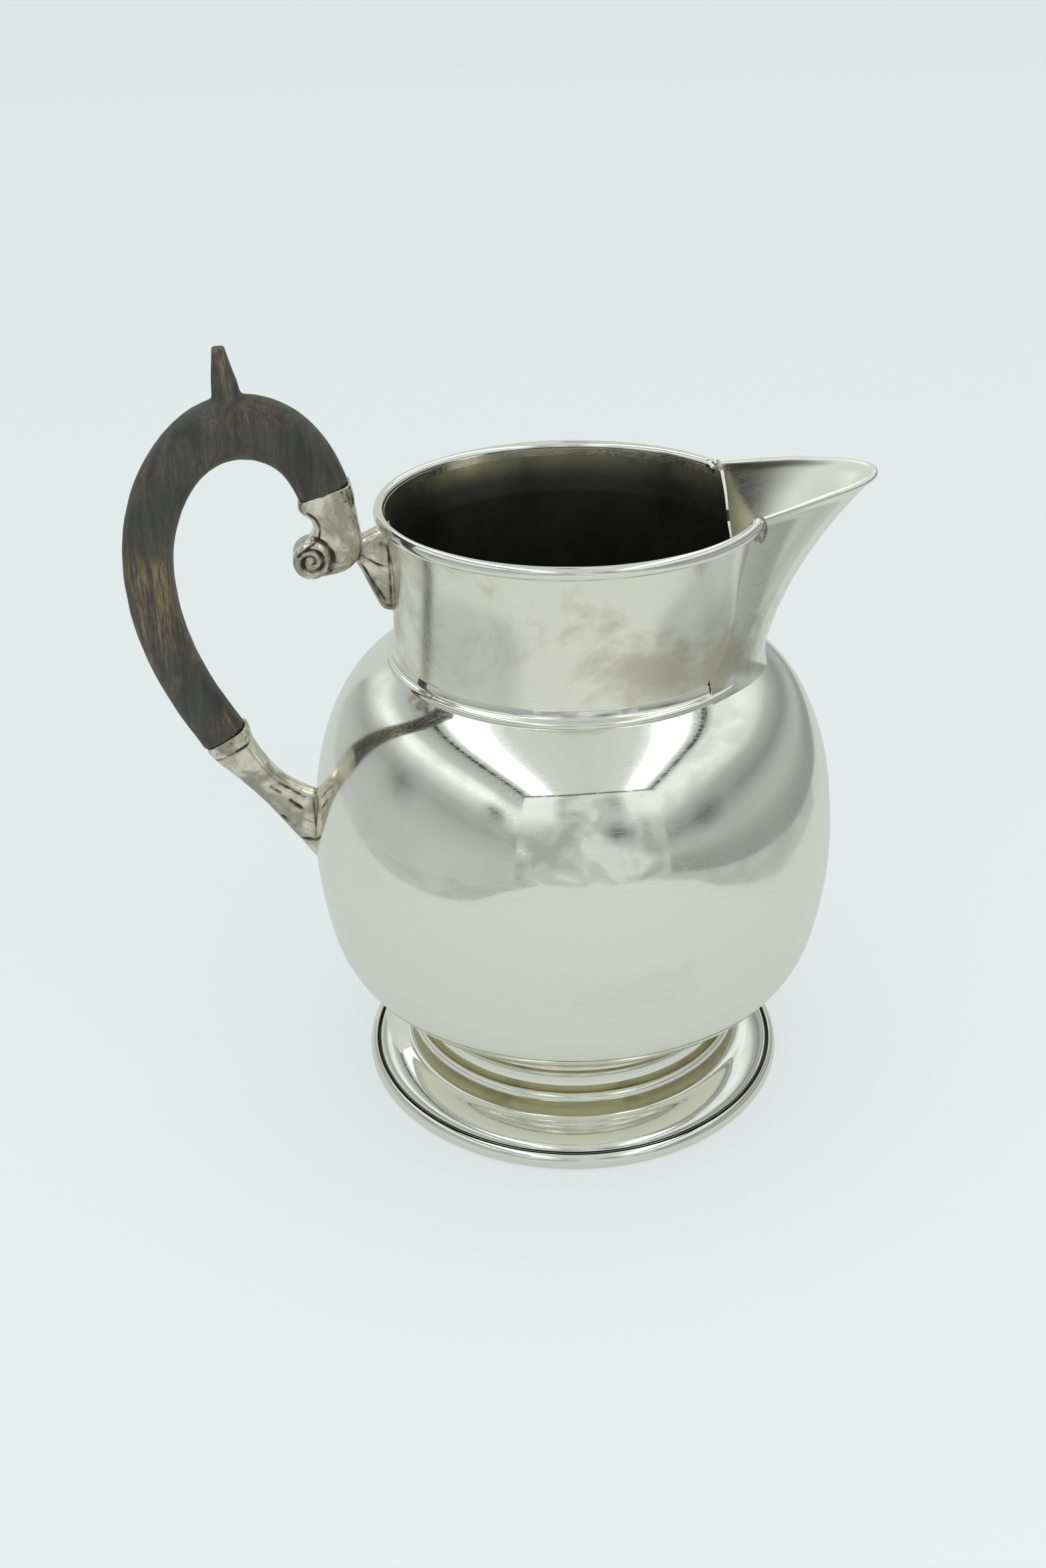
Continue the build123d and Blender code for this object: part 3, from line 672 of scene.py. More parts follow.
contact = [(-49.9, 175.5), (-49.9, 153.0)]
strokes = [(vein, 0.30, -0.5), (rim_cut, 0.45, -0.5), (rim_cut_two, 0.25, -0.35), (dent, 0.75, -0.55),
           (throat, 0.7, -0.35), (contact, 0.35, -0.45)]
upper_leaf = casting("neck_leaf", "upper_leaf", [leaf], 0.24, strokes, 51, 0.25)

# %% The lower socket and its leaf
arm_low = [(-104.3, 113.5), (-103.8, 112.0), (-102.2, 109.6), (-98.8, 106.0), (-94.4, 101.2), (-90.3, 96.2),
           (-86.4, 90.8), (-82.6, 85.0), (-79.2, 79.8), (-76.6, 75.6), (-75.5, 74.3)]
arm_high = [(-92.6, 119.8), (-91.9, 118.1), (-91.5, 115.7), (-90.0, 111.8), (-87.6, 107.6), (-85.0, 104.0),
            (-82.2, 101.2), (-79.4, 99.3), (-77.0, 98.0), (-75.0, 97.0), (-74.2, 96.4)]
arm_breadth = [10.5, 10.6, 9.9, 9.2, 8.7, 8.3, 8.0, 7.7, 7.3, 6.9, 6.5]
arm = ring_solid(between_edges(arm_low, arm_high, arm_breadth, 110, power=3.4))
ridge = smooth_curve([(-97.0, 107.6), (-91.0, 101.2), (-85.4, 94.8), (-80.0, 89.6), (-75.6, 86.6)], 50)
collar_cut = [(-103.2, 109.6), (-91.4, 115.4)]
dashes = [[(-87.2, 100.8), (-84.8, 98.6)], [(-82.2, 95.8), (-79.2, 92.8)], [(-84.9, 90.6), (-81.2, 86.8)],
          [(-79.6, 82.4), (-75.4, 81.6)], [(-96.6, 102.6), (-93.8, 99.6)], [(-84.6, 101.4), (-78.0, 96.2)]]
tip_line = [(-75.5, 95.0), (-75.5, 76.0)]
strokes = [(ridge, 0.7, 0.35), (collar_cut, 0.45, -0.3), (tip_line, 0.3, -0.3)]
strokes += [(dash, 0.5, -0.6) for dash in dashes]
pitted_and_shaded_places = [([(-104.0, 111.8), (-92.2, 117.6)], 1.6, 1.0), ([(-101.0, 107.5), (-91.0, 100.0)], 1.8, 0.6)]
lower = casting("belly_leaf_socket", "lower_socket", [arm], 0.26, strokes, 61, 0.1, pitted_and_shaded_places, 0.55)

# %% [markdown]
# A pin through each cup holds the wood. Only its filed end shows, as a faint ring. A domed rod is enough.

# %% The pins
def pin_rod(name, x, z, half, cad_node):
    """Rings along Y whose radius falls to nothing at both ends, as on a filed rivet."""
    y = np.array([-1.0, -0.995, -0.98, -0.95, 0.95, 0.98, 0.995, 1.0]) * half
    r = np.array([0.35, 0.65, 0.82, 0.9, 0.9, 0.82, 0.65, 0.35])
    rings = np.stack([x + r[:, None] * np.cos(section), np.repeat(y[:, None], len(section), axis=1),
                      z + r[:, None] * np.sin(section)], -1)
    verts, faces = ring_solid(rings)
    return finish_mesh(name, verts, faces, [cad_node])


pins = [pin_rod("upper_pin_end", -64.0, 181.8, 4.9, "upper_pin"),
        pin_rod("lower_pin_end", -96.8, 112.3, 4.85, "lower_pin")]

# %% [markdown]
# Old silver is never one even mirror. It has a warm tone, soft cloudy haze where it was rubbed dull,
# olive stains where polish was left, and a net of hair-fine scratches. Each of these effects is used by
# more than one finish, so each is a node group with its own named inputs, and the shader itself stays
# in the material.

# %% Node helpers
def new_group(name, inputs, outputs):
    """An empty shader group with named sockets: inputs as (name, kind, value), outputs as (name, kind)."""
    tree = bpy.data.node_groups.new(name, "ShaderNodeTree")
    for label, kind, value in inputs:
        socket = tree.interface.new_socket(name=label, in_out="INPUT", socket_type=kind)
        socket.default_value = value
    for label, kind in outputs:
        tree.interface.new_socket(name=label, in_out="OUTPUT", socket_type=kind)
    return tree, tree.nodes.new("NodeGroupInput"), tree.nodes.new("NodeGroupOutput")


def node(tree, kind, **values):
    """A node with its named inputs or properties set."""
    made = tree.nodes.new(kind)
    for key, value in values.items():
        if key.startswith("_"):
            setattr(made, key[1:], value)
        else:
            made.inputs[key.replace("_", " ")].default_value = value
    return made


def ramp(tree, source, stops):
    """A colour ramp from a value: stops are (place, grey or colour)."""
    made = tree.nodes.new("ShaderNodeValToRGB")
    tree.links.new(source, made.inputs[0])
    while len(made.color_ramp.elements) < len(stops):
        made.color_ramp.elements.new(0.5)
    for element, (place, colour) in zip(made.color_ramp.elements, stops):
        element.position = place
        element.color = (colour,) * 3 + (1,) if isinstance(colour, (int, float)) else tuple(colour) + (1,)
    return made.outputs[0]


def math_node(tree, operation, first, second=None):
    """A Math node whose inputs are sockets or numbers."""
    made = tree.nodes.new("ShaderNodeMath")
    made.operation = operation
    for index, value in enumerate((first, second)):
        if value is None:
            continue
        if isinstance(value, (int, float)):
            made.inputs[index].default_value = value
        else:
            tree.links.new(value, made.inputs[index])
    return made.outputs[0]


def mix_colour(tree, share, first, second):
    """Blends two colours by a share; each may be a socket or a plain colour."""
    made = tree.nodes.new("ShaderNodeMix")
    made.data_type = "RGBA"
    for index, value in ((0, share), (6, first), (7, second)):
        if isinstance(value, (int, float)):
            made.inputs[index].default_value = value
        elif isinstance(value, tuple):
            made.inputs[index].default_value = value + (1,)
        else:
            tree.links.new(value, made.inputs[index])
    return made.outputs[2]


def share_between(tree, source, low, high, smooth=False):
    """Zero where the source is at low, one where it is at high, and clamped outside."""
    made = node(tree, "ShaderNodeMapRange", _interpolation_type="SMOOTHSTEP" if smooth else "LINEAR")
    made.inputs["From Min"].default_value = low
    made.inputs["From Max"].default_value = high
    tree.links.new(source, made.inputs["Value"])
    return made.outputs[0]


def coordinate(tree, place, axis):
    """One coordinate of a place, 0 to 2 for X to Z."""
    split = tree.nodes.new("ShaderNodeSeparateXYZ")
    tree.links.new(place, split.inputs[0])
    return split.outputs[axis]


def add_bump(tree, shader, height, strength, distance):
    """Bends the shader's normal by a height, with the distance in metres."""
    bump = node(tree, "ShaderNodeBump", Strength=strength, Distance=distance)
    tree.links.new(height, bump.inputs["Height"])
    tree.links.new(bump.outputs[0], shader.inputs["Normal"])


print("node helpers ready")

# %% Clouds, scratches and streaks as groups
VECTOR, FLOAT = "NodeSocketVector", "NodeSocketFloat"
cloud_group, given, result = new_group("cloudy mask", [("Place", VECTOR, (0, 0, 0)), ("Size", FLOAT, 20.0),
                                       ("Threshold", FLOAT, 0.5), ("Softness", FLOAT, 0.1)], [("Mask", FLOAT)])
noise = node(cloud_group, "ShaderNodeTexNoise", Detail=5.0, Roughness=0.6, Distortion=0.4)
cloud_group.links.new(given.outputs["Place"], noise.inputs["Vector"])
cloud_group.links.new(given.outputs["Size"], noise.inputs["Scale"])
low_edge = math_node(cloud_group, "SUBTRACT", given.outputs["Threshold"], given.outputs["Softness"])
high_edge = math_node(cloud_group, "ADD", given.outputs["Threshold"], given.outputs["Softness"])
window = node(cloud_group, "ShaderNodeMapRange", _interpolation_type="SMOOTHSTEP")
cloud_group.links.new(noise.outputs[0], window.inputs["Value"])
cloud_group.links.new(low_edge, window.inputs["From Min"])
cloud_group.links.new(high_edge, window.inputs["From Max"])
cloud_group.links.new(window.outputs[0], result.inputs["Mask"])

scratch_group, given, result = new_group("hair scratches", [("Place", VECTOR, (0, 0, 0)), ("Size", FLOAT, 60.0)],
                                         [("Height", FLOAT)])
total = None
for spin_angle, seed in ((0.4, 0.0), (1.35, 3.0), (2.3, 7.0)):
    mapping = node(scratch_group, "ShaderNodeMapping", Rotation=(spin_angle, spin_angle * 0.7, seed),
                   Location=(seed, 0, 0), Scale=(1.0, 14.0, 14.0))
    scratch_group.links.new(given.outputs["Place"], mapping.inputs["Vector"])
    hair = node(scratch_group, "ShaderNodeTexNoise", Detail=2.0, Distortion=0.3)
    scratch_group.links.new(mapping.outputs[0], hair.inputs["Vector"])
    scratch_group.links.new(given.outputs["Size"], hair.inputs["Scale"])
    near_half = math_node(scratch_group, "ABSOLUTE", math_node(scratch_group, "SUBTRACT", hair.outputs[0], 0.5))
    line = math_node(scratch_group, "LESS_THAN", near_half, 0.006)
    total = line if total is None else math_node(scratch_group, "MAXIMUM", total, line)
scratch_group.links.new(total, result.inputs["Height"])
print("groups:", cloud_group.name, "and", scratch_group.name)


def place_group(tree, group, place, **values):
    """Puts a group in a material with its own values and returns its first output."""
    made = tree.nodes.new("ShaderNodeGroup")
    made.node_tree = group
    tree.links.new(place, made.inputs["Place"])
    for key, value in values.items():
        made.inputs[key].default_value = value
    return made.outputs[0]


# %% Silver finishes
def new_material(name):
    """An empty material with a Principled BSDF joined to its output."""
    material = bpy.data.materials.new(name)
    material.use_nodes = True
    tree = material.node_tree
    tree.nodes.clear()
    shader = tree.nodes.new("ShaderNodeBsdfPrincipled")
    output = tree.nodes.new("ShaderNodeOutputMaterial")
    tree.links.new(shader.outputs[0], output.inputs["Surface"])
    place = tree.nodes.new("ShaderNodeTexCoord").outputs["Object"]
    return material, tree, shader, place


def silver(name, colour, stain, stain_level, rough_low, rough_high, haze_size=14.0, scratch_depth=0.15):
    """Metal whose roughness follows one cloud, its stains another, and whose bump is fine scratches."""
    material, tree, shader, place = new_material(name)
    haze = place_group(tree, cloud_group, place, Size=haze_size, Threshold=0.5, Softness=0.22)
    stains = place_group(tree, cloud_group, place, Size=23.0, Threshold=stain_level, Softness=0.07)
    scratches = place_group(tree, scratch_group, place, Size=38.0)
    tree.links.new(mix_colour(tree, stains, colour, stain), shader.inputs["Base Color"])
    base = math_node(tree, "MULTIPLY", haze, rough_high - rough_low)
    rough = math_node(tree, "ADD", base, rough_low)
    worn = math_node(tree, "MULTIPLY", scratches, 0.06)
    stained = math_node(tree, "MULTIPLY", stains, 0.10)
    tree.links.new(math_node(tree, "ADD", math_node(tree, "ADD", rough, worn), stained), shader.inputs["Roughness"])
    shader.inputs["Metallic"].default_value = 1.0
    add_bump(tree, shader, scratches, scratch_depth, 0.00004)
    return material


SILVER = (0.92, 0.895, 0.77)
OLIVE = (0.64, 0.60, 0.46)
bowl_silver = silver("belly silver", (0.915, 0.90, 0.80), (0.875, 0.855, 0.745), 0.64, 0.04, 0.15,
                     haze_size=10.0, scratch_depth=0.07)
neck_silver = silver("neck silver", SILVER, OLIVE, 0.585, 0.10, 0.24)
foot_silver = silver("foot silver", (0.90, 0.885, 0.795), (0.70, 0.665, 0.545), 0.74, 0.02, 0.06,
                     scratch_depth=0.05)
spout_silver = silver("spout silver", (0.94, 0.92, 0.81), (0.66, 0.62, 0.48), 0.58, 0.06, 0.15)
channel_silver = silver("spout channel silver", (0.95, 0.93, 0.82), (0.66, 0.62, 0.48), 0.60, 0.20, 0.34)
# The cove above the foot's bead and the band under its collar are darkened to olive: painted shade in the hollow.
cove_painted_shade = silver("olive painted shade in the hollow", (0.46, 0.43, 0.235), (0.30, 0.28, 0.16), 0.60, 0.26, 0.38)

dark_inside, tree, shader, place = new_material("oxidised inside")
patch = place_group(tree, cloud_group, place, Size=30.0, Threshold=0.55, Softness=0.2)
# Under the rim the black oxide turns olive, lighter towards the top and in spots: painted light falling in at the
# opening.
under_the_rim = share_between(tree, coordinate(tree, place, 2), 0.169, 0.180, smooth=True)
uneven = math_node(tree, "ADD", math_node(tree, "MULTIPLY", patch, 0.8), 0.2)
painted_light_under_rim = math_node(tree, "MULTIPLY", under_the_rim, uneven)
black = mix_colour(tree, patch, (0.050, 0.050, 0.047), (0.10, 0.097, 0.088))
tree.links.new(mix_colour(tree, painted_light_under_rim, black, (0.58, 0.55, 0.33)), shader.inputs["Base Color"])
rough = math_node(tree, "SUBTRACT", 0.48, math_node(tree, "MULTIPLY", painted_light_under_rim, 0.25))
tree.links.new(rough, shader.inputs["Roughness"])
shader.inputs["Metallic"].default_value = 1.0
print("silver finishes ready")

# %% [markdown]
# The castings keep tarnish in their cuts, so their colour follows the recess attribute that the chasing
# left on the mesh. The wood is close-grained and nearly black, and it is worn to brown where a hand
# holds it. One noise stretched along Z gives the fibres. The brown shows only where fibres, a cloud and
# the height on the grip agree, which keeps the wear in streaks and leaves the top of the grip dark.

# %% Cast silver and wood
cast_silver, tree, shader, place = new_material("chased cast silver")
recess = node(tree, "ShaderNodeAttribute", _attribute_name="recess").outputs["Fac"]
tarnish = place_group(tree, cloud_group, place, Size=95.0, Threshold=0.47, Softness=0.10)
clean = mix_colour(tree, math_node(tree, "MULTIPLY", tarnish, 0.8), (0.84, 0.80, 0.67), (0.30, 0.28, 0.20))
# The dark in the cuts is tarnish; in the upper socket's edge patches the same darkening is painted shade.
in_cut = ramp(tree, recess, [(0.12, 0.0), (0.75, 1.0)])
tree.links.new(mix_colour(tree, in_cut, clean, (0.085, 0.078, 0.058)), shader.inputs["Base Color"])
rough = math_node(tree, "ADD", math_node(tree, "MULTIPLY", tarnish, 0.16), 0.11)
rough = math_node(tree, "ADD", rough, math_node(tree, "MULTIPLY", in_cut, 0.3))
tree.links.new(rough, shader.inputs["Roughness"])
shader.inputs["Metallic"].default_value = 1.0
grain = node(tree, "ShaderNodeTexNoise", Scale=1400.0, Detail=3.0)
tree.links.new(place, grain.inputs["Vector"])
add_bump(tree, shader, grain.outputs[0], 0.25, 0.00008)

wood, tree, shader, place = new_material("dark handled wood")
stretch = node(tree, "ShaderNodeMapping", Scale=(1.0, 1.0, 0.09))
tree.links.new(place, stretch.inputs["Vector"])
fibre = node(tree, "ShaderNodeTexNoise", Scale=1500.0, Detail=6.0, Roughness=0.7, Distortion=0.2)
broad = node(tree, "ShaderNodeTexNoise", Scale=260.0, Detail=5.0, Roughness=0.65, Distortion=0.6)
tree.links.new(stretch.outputs[0], fibre.inputs["Vector"])
tree.links.new(stretch.outputs[0], broad.inputs["Vector"])
grey_share = ramp(tree, broad.outputs[0], [(0.35, 0.0), (0.65, 1.0)])
dark = mix_colour(tree, grey_share, (0.034, 0.034, 0.031), (0.068, 0.067, 0.060))
streaks = ramp(tree, fibre.outputs[0], [(0.44, 0.0), (0.62, 1.0)])
patches = place_group(tree, cloud_group, place, Size=46.0, Threshold=0.45, Softness=0.13)
up_the_grip = share_between(tree, coordinate(tree, place, 2), 0.110, 0.226)
held = ramp(tree, up_the_grip, [(0.0, 1.0), (0.5, 0.9), (0.62, 0.35), (0.80, 0.2), (0.92, 0.6), (1.0, 0.9)])
worn = math_node(tree, "MULTIPLY", math_node(tree, "MULTIPLY", streaks, patches), held)
pale_share = ramp(tree, broad.outputs[0], [(0.4, 0.0), (0.6, 1.0)])
brown = mix_colour(tree, pale_share, (0.14, 0.072, 0.025), (0.33, 0.235, 0.095))
tree.links.new(mix_colour(tree, worn, dark, brown), shader.inputs["Base Color"])
tree.links.new(math_node(tree, "ADD", math_node(tree, "MULTIPLY", streaks, 0.12), 0.50), shader.inputs["Roughness"])
shader.inputs["Specular IOR Level"].default_value = 0.4
add_bump(tree, shader, fibre.outputs[0], 0.6, 0.00015)
print("cast silver and wood ready")

# %% [markdown]
# Each piece now takes its finish. The bowl and the neck are bright outside and almost black inside,
# where nobody polishes. So these pieces carry more than one material, and every face holds the number
# of its own. The number comes from where the face lies and which way it looks.

# %% Finishes on the pieces
def face_data(piece):
    """The middle of every face in mm, its normal, and its distance from the axis."""
    count = len(piece.data.polygons)
    centres, normals = np.empty(count * 3), np.empty(count * 3)
    piece.data.polygons.foreach_get("center", centres)
    piece.data.polygons.foreach_get("normal", normals)
    centres = centres.reshape(-1, 3) / MM
    return centres, normals.reshape(-1, 3), np.hypot(centres[:, 0], centres[:, 1])


def dress(piece, *finishes, choice=None):
    """Gives the piece its finishes. The choice is the number of the finish that each face takes."""
    piece.data.materials.clear()
    for finish in finishes:
        piece.data.materials.append(finish)
    if choice is not None:
        piece.data.polygons.foreach_set("material_index", choice.astype(np.int32))
        print(piece.name, "faces in each finish:", np.bincount(choice.astype(int)).tolist())


bowl_faces = np.arange(len(bowl.data.polygons))
dress(bowl, bowl_silver, dark_inside, choice=bowl_faces * 2 > len(bowl_faces))

CLEANED_FROM = 176.5            # the neck's inside is bright above this height
centres, normals, radius = face_data(neck)
towards_axis = (centres[:, :2] * normals[:, :2]).sum(1) < 0
dress(neck, neck_silver, dark_inside, choice=towards_axis & (centres[:, 2] < CLEANED_FROM))

centres, normals, radius = face_data(spout)
towards_channel = (([CHANNEL_X, 0.0] - centres[:, :2]) * normals[:, :2]).sum(1) > 0
dress(spout, spout_silver, channel_silver, choice=towards_channel)


def in_ring(centres, radius, inner, outer, low, high):
    """True for faces in a square-cut ring round the axis."""
    return (radius > inner) & (radius < outer) & (centres[:, 2] > low) & (centres[:, 2] < high)


centres, normals, radius = face_data(foot_wire)
dress(foot_wire, foot_silver, dark_inside, choice=in_ring(centres, radius, 61.16, 62.0, 3.0, 5.0))
centres, normals, radius = face_data(dome)
choice = in_ring(centres, radius, 61.16, 62.0, 3.0, 5.0).astype(int)
# Finish 2 is the olive painted shade in the cove and under the collar.
choice[in_ring(centres, radius, 50.2, 51.2, 9.5, 14.3) | in_ring(centres, radius, 47.6, 99.0, 17.0, 99.0)] = 2
dress(dome, foot_silver, dark_inside, cove_painted_shade, choice=choice)

for piece in (rim, base_wire, collar, top_wire):
    dress(piece, foot_silver)
for piece in (*lumps, upper, upper_leaf, lower, *pins):
    dress(piece, cast_silver)
dress(grip, wood)

# %% [markdown]
# Polished metal shows only what is around it, so the surroundings are half of the finish. The pitcher
# stands in white cloth: a wide pale floor, and a world that is soft grey at the sides and brighter
# above. Mirrors see both a little dimmer than the eye does, as the silver would be too white otherwise.

# %% Floor
SEEN_IN_SILVER = 0.78           # brightness of the cloth in a reflection, next to its own
CLOTH = (0.36, 0.38, 0.38)

floor_mesh = bpy.data.meshes.new("floor")
reach = 12.0
floor_corners = [(-reach, -reach, 0), (reach, -reach, 0), (reach, reach, 0), (-reach, reach, 0)]
floor_mesh.from_pydata(floor_corners, [], [(0, 1, 2, 3)])
floor = bpy.data.objects.new("floor", floor_mesh)
bpy.context.scene.collection.objects.link(floor)
floor_finish, tree, shader, place = new_material("pale floor")
shader.inputs["Roughness"].default_value = 0.9
shader.inputs["Specular IOR Level"].default_value = 0.1
# The floor glows by itself, brighter at the front and dimmer towards the back: painted light, which also lightens the
# shade round the foot.
away = share_between(tree, coordinate(tree, place, 1), -0.4, 3.6)
painted_floor_glow = ramp(tree, away, [(0.0, (0.53, 0.555, 0.555)), (0.08, (0.50, 0.53, 0.53)),
                                (0.15, (0.45, 0.485, 0.485)), (0.4, (0.43, 0.475, 0.475)), (1.0, (0.39, 0.44, 0.44))])
mirrored = tree.nodes.new("ShaderNodeLightPath").outputs["Is Glossy Ray"]
dimmed = mix_colour(tree, mirrored, (1.0, 1.0, 1.0), (SEEN_IN_SILVER,) * 3)
shown = tree.nodes.new("ShaderNodeVectorMath")
shown.operation = "MULTIPLY"
tree.links.new(painted_floor_glow, shown.inputs[0])
tree.links.new(dimmed, shown.inputs[1])
tree.links.new(shown.outputs[0], shader.inputs["Emission Color"])
cloth_colour = mix_colour(tree, mirrored, CLOTH, tuple(SEEN_IN_SILVER * v for v in CLOTH))
tree.links.new(cloth_colour, shader.inputs["Base Color"])
shader.inputs["Emission Strength"].default_value = 1.0
floor_mesh.materials.append(floor_finish)

# %% World
world = bpy.data.worlds.new("white tent")
bpy.context.scene.world = world
world.use_nodes = True
tree = world.node_tree
tree.nodes.clear()
direction = tree.nodes.new("ShaderNodeTexCoord").outputs["Generated"]
sky = ramp(tree, coordinate(tree, direction, 2), [(0.0, (0.78, 0.83, 0.83)), (0.3, (0.76, 0.80, 0.80)),
                                                  (1.0, (0.96, 0.98, 0.96))])
background = tree.nodes.new("ShaderNodeBackground")
tree.links.new(sky, background.inputs["Color"])
mirrored = tree.nodes.new("ShaderNodeLightPath").outputs["Is Glossy Ray"]
tree.links.new(math_node(tree, "SUBTRACT", 1.0, math_node(tree, "MULTIPLY", mirrored, 1 - SEEN_IN_SILVER)),
               background.inputs["Strength"])
world_out = tree.nodes.new("ShaderNodeOutputWorld")
tree.links.new(background.outputs[0], world_out.inputs["Surface"])

# %% [markdown]
# The tent itself is a box of white cloth, 0.8 m wide, with its sewn edges, a lamp strip along each top
# edge, darker cloth low at the sides and the room showing in front. It is built of cards that only
# reflections see, so that from any side the background stays a plain pale floor.

# %% Cards that only reflections see
TENT_X, TENT_TOP, TENT_FRONT, TENT_BACK = 400.0, 600.0, -680.0, 700.0


def card(name, corners, paint):
    """A flat card through its corners in mm, lit by itself, hidden from the camera and diffuse light."""
    mesh = bpy.data.meshes.new(name)
    mesh.from_pydata((np.array(corners, float) * MM).tolist(), [], [tuple(range(len(corners)))])
    made = bpy.data.objects.new(name, mesh)
    bpy.context.scene.collection.objects.link(made)
    made.visible_camera = False
    made.visible_diffuse = False
    made.visible_shadow = False
    material = bpy.data.materials.new(name)
    material.use_nodes = True
    tree = material.node_tree
    tree.nodes.clear()
    glow = node(tree, "ShaderNodeEmission", Strength=SEEN_IN_SILVER)
    tree.links.new(glow.outputs[0], tree.nodes.new("ShaderNodeOutputMaterial").inputs["Surface"])
    place = tree.nodes.new("ShaderNodeTexCoord").outputs["Object"]
    parts = tree.nodes.new("ShaderNodeSeparateXYZ")
    tree.links.new(place, parts.inputs[0])
    tree.links.new(paint(tree, place, *parts.outputs), glow.inputs["Color"])
    mesh.materials.append(material)
    return made


def along_mm(tree, source, stops):
    """A ramp over millimetres: its stops may lie anywhere, and colours above one stay above one."""
    first, last = stops[0][0] * MM, stops[-1][0] * MM
    scaled = share_between(tree, source, first, last)
    return ramp(tree, scaled, [((at * MM - first) / (last - first), value) for at, value in stops])


def box_mask(tree, first, first_range, second, second_range, soft):
    """One inside a rectangle of two coordinates, in mm, and zero outside, with a soft edge."""
    product = None
    for source, (low, high) in ((first, first_range), (second, second_range)):
        part = along_mm(tree, source, [(low - soft, 0.0), (low + soft, 1.0), (high - soft, 1.0), (high + soft, 0.0)])
        product = part if product is None else math_node(tree, "MULTIPLY", product, part)
    return product


def tone(level):
    """The colour of the tent's white cloth at a brightness: a little cooler than grey."""
    return (0.93 * level, level, 1.02 * level)


def ceiling_paint(tree, place, x, y, z):
    """Cloth in the middle, a lamp strip near each side, dark seams, and a small warm opening."""
    side = math_node(tree, "ABSOLUTE", x)
    cloth = along_mm(tree, side, [(0, tone(0.80)), (170, tone(0.88)), (204, tone(1.15)), (236, tone(2.1)),
                                  (330, tone(2.1)), (358, tone(0.85)), (386, tone(0.42)), (391, tone(0.05)),
                                  (402, tone(0.05))])
    hem = along_mm(tree, y, [(-682, 1.0), (-670, 1.0), (-664, 0.0), (700, 0.0)])
    cloth = mix_colour(tree, hem, cloth, tone(0.07))
    hole = box_mask(tree, x, (-34, 26), y, (-30, 60), 3)
    warm = node(tree, "ShaderNodeTexNoise", Scale=38.0, Detail=2.0)
    tree.links.new(place, warm.inputs["Vector"])
    glowing = ramp(tree, warm.outputs[0], [(0.50, 0.0), (0.62, 1.0)])
    ember = mix_colour(tree, glowing, (0.02, 0.012, 0.01), (0.75, 0.16, 0.05))
    cloth = mix_colour(tree, hole, cloth, ember)
    glow = box_mask(tree, x, (30, 84), y, (-20, 50), 6)
    return mix_colour(tree, glow, cloth, (1.6, 1.15, 0.80))


def clouded(tree, place, cloth, scale, share, patch):
    """Soft patches of another tone over a cloth, as creases and thin places give."""
    cloud = node(tree, "ShaderNodeTexNoise", Scale=scale, Detail=3.0)
    tree.links.new(place, cloud.inputs["Vector"])
    dull = math_node(tree, "MULTIPLY", ramp(tree, cloud.outputs[0], [(0.42, 0.0), (0.60, 1.0)]), share)
    return mix_colour(tree, dull, cloth, patch)


def left_wall_paint(tree, place, x, y, z):
    """Pale low down, a bright band under the lamp, grey above it, a dark seam, and two soft dark spots."""
    cloth = along_mm(tree, z, [(0, tone(0.72)), (100, tone(0.68)), (170, tone(0.58)), (215, tone(0.46)),
                               (262, tone(0.56)), (320, tone(0.95)), (372, tone(1.45)), (420, tone(1.25)),
                               (460, tone(0.75)), (560, tone(0.52)), (588, tone(0.28)), (592, tone(0.04)),
                               (602, tone(0.04))])
    cloth = clouded(tree, place, cloth, 6.0, 0.35, tone(0.60))
    cloth = mix_colour(tree, box_mask(tree, y, (-70, 10), z, (165, 228), 38), cloth, tone(0.26))
    return mix_colour(tree, box_mask(tree, y, (-520, -400), z, (290, 350), 40), cloth, tone(0.16))


def right_wall_paint(tree, place, x, y, z):
    """Dull at the foot, pale, dark again at a fifth of a metre, then brighter up to the seam."""
    cloth = along_mm(tree, z, [(0, tone(0.36)), (60, tone(0.42)), (110, tone(0.62)), (150, tone(0.58)),
                               (204, tone(0.34)), (290, tone(0.58)), (340, tone(0.98)), (420, tone(1.25)),
                               (545, tone(1.15)), (580, tone(0.60)), (589, tone(0.25)), (592, tone(0.04)),
                               (602, tone(0.04))])
    cloth = clouded(tree, place, cloth, 7.0, 0.30, tone(0.50))
    return mix_colour(tree, box_mask(tree, y, (-420, -290), z, (175, 225), 40), cloth, tone(0.18))


def front_paint(tree, place, x, y, z):
    """The open side: pale folds, bright towards its upper corners, with one dark shape right of the middle."""
    fold = node(tree, "ShaderNodeTexNoise", Scale=5.0, Detail=2.0, Distortion=0.8)
    tree.links.new(place, fold.inputs["Vector"])
    cloth = ramp(tree, fold.outputs[0], [(0.38, tone(0.52)), (0.48, tone(0.70)), (0.54, tone(0.72)),
                                         (0.60, tone(0.92))])
    side = math_node(tree, "ABSOLUTE", x)
    corner = math_node(tree, "MULTIPLY", along_mm(tree, side, [(0, 0.0), (150, 0.0), (215, 1.0), (402, 1.0)]),
                       along_mm(tree, z, [(0, 0.0), (290, 0.0), (400, 1.0), (602, 1.0)]))
    cloth = mix_colour(tree, math_node(tree, "MULTIPLY", corner, 0.8), cloth, tone(1.30))
    shade = box_mask(tree, x, (72, 205), z, (222, 305), 42)
    cloth = mix_colour(tree, math_node(tree, "MULTIPLY", shade, 0.95), cloth, tone(0.15))
    seam = along_mm(tree, z, [(0, 0.0), (588, 0.0), (592, 1.0), (602, 1.0)])
    return mix_colour(tree, seam, cloth, tone(0.05))


def border_paint(tree, place, x, y, z):
    """The duller cloth beside the white sheet that the pitcher stands on."""
    cloth = along_mm(tree, y, [(-700, tone(0.66)), (200, tone(0.72))])
    return clouded(tree, place, cloth, 9.0, 0.8, tone(0.58))


